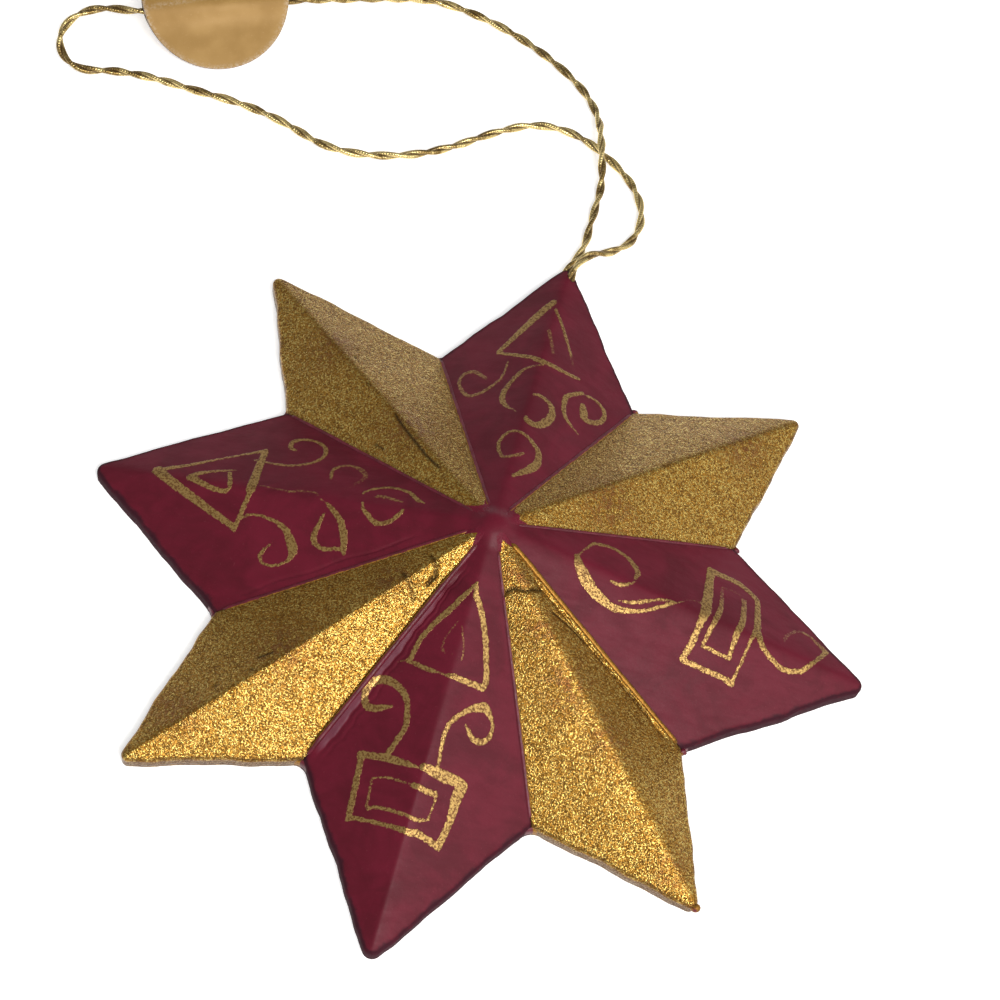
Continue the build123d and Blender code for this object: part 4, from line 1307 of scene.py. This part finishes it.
class TINSTAR_OT_hanging_cord(bpy.types.Operator):
    """Twists the two plies of the hanging cord along its route"""

    bl_idname = "tinstar.hanging_cord"
    bl_label = "Hanging cord"

    def execute(self, context):
        settings = context.scene.tin_star_cord
        line = hanging_line()
        context.scene["cord_line"] = [number for place in line for number in place]
        obj = line_object("hanging_cord_strands", [line])
        outer = settings.diameter / 2
        twist(obj, settings.ply_radius, outer - settings.ply_radius, settings.twist_length, 0.0003)
        away = distance_from(np.array(line), places_of(obj))
        # Where the painted shade between the plies falls: near the cord's middle line
        store(obj.data, "groove", 1 - np.clip((away / outer - 0.45) / 0.5, 0, 1))
        return finish_piece(obj, "gold_thread", "hanging_cord")


class TINSTAR_OT_cord_knot(bpy.types.Operator):
    """Ties the small knot that holds both ends of the cord inside the top point"""

    bl_idname = "tinstar.cord_knot"
    bl_label = "Cord knot"

    def execute(self, context):
        low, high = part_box("cord_knot")
        t = np.linspace(0, 2 * math.pi, 97)
        swell = (2 + np.cos(3 * t)) * 0.00029
        turns = np.column_stack([swell * np.cos(2 * t), np.sin(3 * t) * 0.00062, swell * np.sin(2 * t)])
        obj = line_object("cord_knot_turns", [np.array((low + high) / 2) + turns])
        twist(obj, 0.00023, 0.00017, 0.0042, 0.0002)
        store_same(obj, groove=0.2)
        return finish_piece(obj, "gold_thread", "cord_knot")


class TINSTAR_OT_paper_label(bpy.types.Operator):
    """Cuts the label's two round stickers, pressed together over the cord"""

    bl_idname = "tinstar.paper_label"
    bl_label = "Paper label"

    def execute(self, context):
        along = Vector((math.cos(LABEL_TURN), math.sin(LABEL_TURN), 0.0))
        level = math.cos(LABEL_TILT)
        across = Vector((-along.y * level, along.x * level, math.sin(LABEL_TILT)))
        middle = np.array(LABEL_HOLD) * MM + np.array(across) * LABEL_HANG * MM
        for node, side in (("label_front", 1), ("label_back", -1)):
            obj = self.sticker(node + "_sticker", context.scene.tin_star_label, side)
            placed = places_of(obj) @ np.array([along, across, along.cross(across)]) + middle
            obj.data.vertices.foreach_set("co", placed.astype(np.float32).ravel())
            obj.data.update()
            close_and_orient(obj)
            finish_piece(obj, "gold_paper", node)
        return {"FINISHED"}

    def sticker(self, name, settings, side):
        """One sticker lying flat: a disc of rings that arches over the cord, with its cut edge."""
        radius, paper = settings.diameter / 2 / MM, settings.paper / MM
        rings, around = 44, 168

        def layer(height, edge_in):
            reach = radius * np.arange(1, rings + 1) / rings
            reach[-1] -= edge_in
            u, v = np.vstack([[[0.0, 0.0]]] + [circle(around) * ring for ring in reach]).T
            away = np.hypot(u, v)
            lift = 0.63 * bell(v, -LABEL_HANG, 1.6)
            lift = lift + side * 0.00044 * (u + 2.0) ** 2 * smooth_step(3.0, 9.5, away)
            if side > 0:
                lift = lift + 0.07 * np.clip(v - self.fold(u), 0, 3.0) * (1 - smooth_step(7.5, 9.5, away))
            return np.column_stack([u, v, side * (lift + height)])

        flat = np.vstack([layer(paper, 0.03), layer(0.0, 0.0)])
        below = len(flat) // 2
        faces = ring_faces(0, rings, around) + ring_faces(below, rings, around)
        kinds = [0] * len(faces) + [1] * around
        faces += band(below - around, len(flat) - around, around)
        obj = new_object(name, flat, faces, [label_finish(), label_edge_finish()], kinds)
        wear = np.clip((np.hypot(flat[:, 0], flat[:, 1]) - radius + 0.7) / 0.7, 0, 1)
        if side > 0:
            wear = np.maximum(wear, 0.5 * bell(flat[:, 1], self.fold(flat[:, 0]), 0.30))
        store(obj.data, "edge_wear", wear)
        return obj

    def fold(self, u):
        """Where the front sticker is creased across the label."""
        return -0.95 + (u + 9.35) * 0.089


class TINSTAR_OT_points(bpy.types.Operator):
    """Folds the eight points of sheet and paints them in turn maroon and gold"""

    bl_idname = "tinstar.points"
    bl_label = "Painted points"

    def execute(self, context):
        for number, name in enumerate(POINT_NAMES):
            obj = folded_point(number)
            if number == 0:
                self.open_mouth(obj, np.array(context.scene["cord_line"]).reshape(-1, 3) / MM)
            finish_piece(obj, "gold_paint" if number % 2 else "maroon_paint", name)
        return {"FINISHED"}

    def open_mouth(self, obj, line):
        """Wears the top point's end open for the two ends of the cord, with room for the knot behind it."""
        for end in (line[:len(line) // 2], line[len(line) // 2:]):
            carve(obj, *tube_round(end[end[:, 1] < MOUTH_REACH], MOUTH_RADIUS))
        corners = []
        for y, half, top in KNOT_ROOM:
            corners += [(-half, y, KNOT_ROOM_FLOOR), (half, y, KNOT_ROOM_FLOOR), (half * 0.55, y, top),
                        (-half * 0.55, y, top)]
        carve(obj, corners, tube_faces(0, 2, 4))


class TINSTAR_OT_valley_solder(bpy.types.Operator):
    """Runs a bead of solder along each of the eight valleys"""

    bl_idname = "tinstar.valley_solder"
    bl_label = "Valley solder"

    def execute(self, context):
        lines, radii = [], []
        for number, (radius, proud, _) in enumerate(VALLEY_BEADS):
            notch = NOTCHES[number][:2]
            reach = np.hypot(*notch)
            x, y = (notch / reach)[:, None] * np.arange(BEAD_START, reach - BEAD_STOP, 0.5)
            z = surface_height(number, x, y) - radius * 0.86 + proud
            lines.append(np.column_stack([x, y, z]) * MM)
            radii += [radius * MM] * len(x)
        obj = line_object("valley_solder_beads", lines, bead_radius=radii)
        run_beads(obj)
        x, y, _ = places_of(obj).T / MM
        share, best = np.zeros(len(x)), np.full(len(x), 1e9)
        for number, (_, _, gold) in enumerate(VALLEY_BEADS):
            side = valley_distance(number, x, y)
            here = (np.abs(side) < best) & (x * NOTCHES[number][0] + y * NOTCHES[number][1] > 0)
            best[here] = np.abs(side)[here]
            share[here] = np.clip(gold_side(number, side, 0.15) + gold - 0.35, 0, 1)[here]
        store(obj.data, "gold_share", share)
        return finish_piece(obj, "maroon_paint", "valley_solder")


class TINSTAR_OT_notch_solder(bpy.types.Operator):
    """Fills the corners between the points' walls with solder, with a nub where it piled up"""

    bl_idname = "tinstar.notch_solder"
    bl_label = "Notch solder"

    def execute(self, context):
        vertices, faces = [], []
        for number in range(8):
            self.cove(number, vertices, faces)
            if number in NOTCH_NUBS:
                self.nub(number, NOTCH_NUBS[number], vertices, faces)
        obj = new_object("notch_solder_coves", vertices, faces, [solder_finish()])
        x, y, _ = np.array(vertices).T
        nearest = np.argmin([np.hypot(x - notch[0], y - notch[1]) for notch in NOTCHES], axis=0)
        share = np.choose(nearest, [
            0.8 * gold_side(number, valley_distance(number, x, y), 0.3) - 0.15 for number in range(8)])
        store(obj.data, "gold_share", share)
        close_and_orient(obj)
        return finish_piece(obj, "maroon_paint", "notch_solder")

    def cove(self, number, vertices, faces):
        """A small upright fillet whose top rolls into the bend of the rim."""
        notch = NOTCHES[number][:2]
        places, outward, _ = cove_arc(number, 12)
        faces += tube_faces(len(vertices), len(COVE_LEVELS), len(places) + 1)
        for z, back in COVE_LEVELS:
            moved = places + (notch - outward * 0.25 - places) * back
            vertices += [(x, y, z) for x, y in (*moved, notch - outward * 0.30)]

    def nub(self, number, size, vertices, faces):
        """A lump of solder that piled up in the corner."""
        middle = NOTCHES[number][:2] + cove_arc(number, 1)[1] * 0.24

        def swell(tilt, turn):
            return NUB_RADIUS * size * (1 + 0.10 * math.sin(3 * turn + number) * math.sin(tilt)
                                        + 0.07 * math.sin(5 * tilt + 2 * turn))

        add_lump(vertices, faces, (*middle, NUB_HEIGHT), NUB_FOOT, NUB_HEIGHT + NUB_RADIUS * size, swell)


class TINSTAR_OT_middle_solder(bpy.types.Operator):
    """Closes the middle with a soft lump of solder, painted maroon"""

    bl_idname = "tinstar.middle_solder"
    bl_label = "Middle solder"

    def execute(self, context):
        rings, around = 22, 96
        outline = circle(around) * hub_edge(*circle(around).T)[:, None]
        vertices = [(0.0, 0.0, STAR_HEIGHT - 0.005)]
        for share in np.arange(1, rings + 1) / rings:
            x, y = (outline * share).T
            lift = 0.022 * (1 - share ** 2) ** 2 - 0.045 * share ** 8
            vertices += list(zip(x, y, np.minimum(whole_height(x, y) + lift, STAR_HEIGHT)))
        vertices += [(x, y, STAR_HEIGHT - 1.7) for x, y in outline * 0.9]
        faces = ring_faces(0, rings + 1, around) + [tuple(range(len(vertices) - around, len(vertices)))]
        obj = new_object("apex_solder_lump", vertices, faces, [maroon_finish()])
        store_same(obj, rim_distance=3.0, mark=0.0, stroke_inside=-1.0, stroke_strength=0.0)
        close_and_orient(obj)
        return finish_piece(obj, "maroon_paint", "apex_solder")


class TINSTAR_OT_tip_solder(bpy.types.Operator):
    """Sets the small bead of solder on the end of the lower right gold point"""

    bl_idname = "tinstar.tip_solder"
    bl_label = "Tip solder"

    def execute(self, context):
        low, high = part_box("tip_solder")
        middle = np.array((low + high) / 2) / MM

        def swell(tilt, turn):
            return 0.52 * (1 + 0.07 * math.sin(2 * turn + 1.0) * math.sin(tilt))

        vertices, faces = [], []
        add_lump(vertices, faces, middle, middle[2] - 0.50, middle[2] + 0.50, swell, upright=0.50)
        obj = new_object("tip_solder_bead", vertices, faces, [solder_finish()])
        store_same(obj, gold_share=0.62)
        close_and_orient(obj)
        return finish_piece(obj, "gold_paint", "tip_solder")


class TINSTAR_OT_back_plate(bpy.types.Operator):
    """Cuts the flat star of sheet that closes the back"""

    bl_idname = "tinstar.back_plate"
    bl_label = "Back plate"

    def execute(self, context):
        outline, paints = [], []
        arcs = [cove_arc(number, 8) for number in range(8)]
        for number in range(8):
            places, _ = point_outline(number, 40)
            keep = np.full(len(places), True)
            for notch in (number, number - 1):
                keep &= np.hypot(*(places - NOTCHES[notch][:2]).T) > arcs[notch][2]
            outline += [*places[keep], *arcs[number][0]]
            here, after = (1, 2) if number % 2 else (2, 1)
            paints += [here] * (int(keep.sum()) + 4) + [after] * 5
        outline = np.array(outline)
        inner = outline * (1 - 0.12 / np.hypot(*outline.T))[:, None]
        vertices = [(0.0, 0.0, 0.0)]
        for places, z in ((inner * 0.25, 0.0), (inner * 0.5, 0.0), (inner * 0.75, 0.0), (inner, 0.0),
                          (outline, 0.08), (outline, 0.42)):
            vertices += [(x, y, z) for x, y in places]
        vertices.append((0.0, 0.0, 0.42))
        around, last = len(outline), len(vertices) - 1
        faces = ring_faces(0, 6, around) + fan(last, last - around, around)
        kinds = [0] * (4 * around) + paints * 2 + [0] * around
        obj = new_object("back_plate_star", vertices, faces,
                         [back_finish(), gold_finish(), maroon_finish()], kinds, smooth=False)
        # A rim distance of zero gives the plate's edge the painted shade of the walls
        store_same(obj, rim_distance=0.0, mark=0.0, undercoat=0.3, hub_distance=4.0, stroke_inside=-1.0,
                   stroke_strength=0.0)
        close_and_orient(obj)
        return finish_piece(obj, "maroon_paint", "back_plate")


class TINSTAR_OT_declare_cord(bpy.types.Operator):
    """Does nothing; the scene stays as it is"""

    bl_idname = "tinstar.declare_cord"
    bl_label = "Declare the cord"

    def execute(self, context):
        return {"FINISHED"}


class TINSTAR_PT_sidebar(bpy.types.Panel):
    """Lists the star's pieces and the sizes and colours that can be changed"""

    bl_idname = "TINSTAR_PT_sidebar"
    bl_label = "Folded tin star"
    bl_space_type = "VIEW_3D"
    bl_region_type = "UI"
    bl_category = "Tin Star"

    def draw(self, context):
        layout = self.layout
        for operator in OPERATORS:
            layout.operator(operator.bl_idname)
        for name in SETTINGS:
            box = layout.box()
            group = getattr(context.scene, name)
            for key in group.__annotations__:
                box.prop(group, key)


SETTINGS = {
    "tin_star_sheet": TinStarSheet,
    "tin_star_paint": TinStarPaint,
    "tin_star_cord": TinStarCord,
    "tin_star_label": TinStarLabel,
    "tin_star_stage": TinStarStage,
}
OPERATORS = (
    TINSTAR_OT_stage,
    TINSTAR_OT_hanging_cord,
    TINSTAR_OT_cord_knot,
    TINSTAR_OT_paper_label,
    TINSTAR_OT_points,
    TINSTAR_OT_valley_solder,
    TINSTAR_OT_notch_solder,
    TINSTAR_OT_middle_solder,
    TINSTAR_OT_tip_solder,
    TINSTAR_OT_back_plate,
    TINSTAR_OT_declare_cord,
)


def register():
    for group in SETTINGS.values():
        bpy.utils.register_class(group)
    for name, group in SETTINGS.items():
        setattr(bpy.types.Scene, name, PointerProperty(type=group))
    for operator in OPERATORS:
        bpy.utils.register_class(operator)
    bpy.utils.register_class(TINSTAR_PT_sidebar)


def unregister():
    bpy.utils.unregister_class(TINSTAR_PT_sidebar)
    for operator in reversed(OPERATORS):
        bpy.utils.unregister_class(operator)
    for name in SETTINGS:
        delattr(bpy.types.Scene, name)
    for group in reversed(list(SETTINGS.values())):
        bpy.utils.unregister_class(group)


def main():
    """Makes the whole ornament."""
    register()
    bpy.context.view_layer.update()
    bpy.ops.tinstar.stage()
    bpy.ops.tinstar.hanging_cord()
    bpy.ops.tinstar.cord_knot()
    bpy.ops.tinstar.paper_label()
    bpy.ops.tinstar.points()
    bpy.ops.tinstar.valley_solder()
    bpy.ops.tinstar.notch_solder()
    bpy.ops.tinstar.middle_solder()
    bpy.ops.tinstar.tip_solder()
    bpy.ops.tinstar.back_plate()
    bpy.ops.tinstar.declare_cord()


if __name__ == "__main__":
    main()
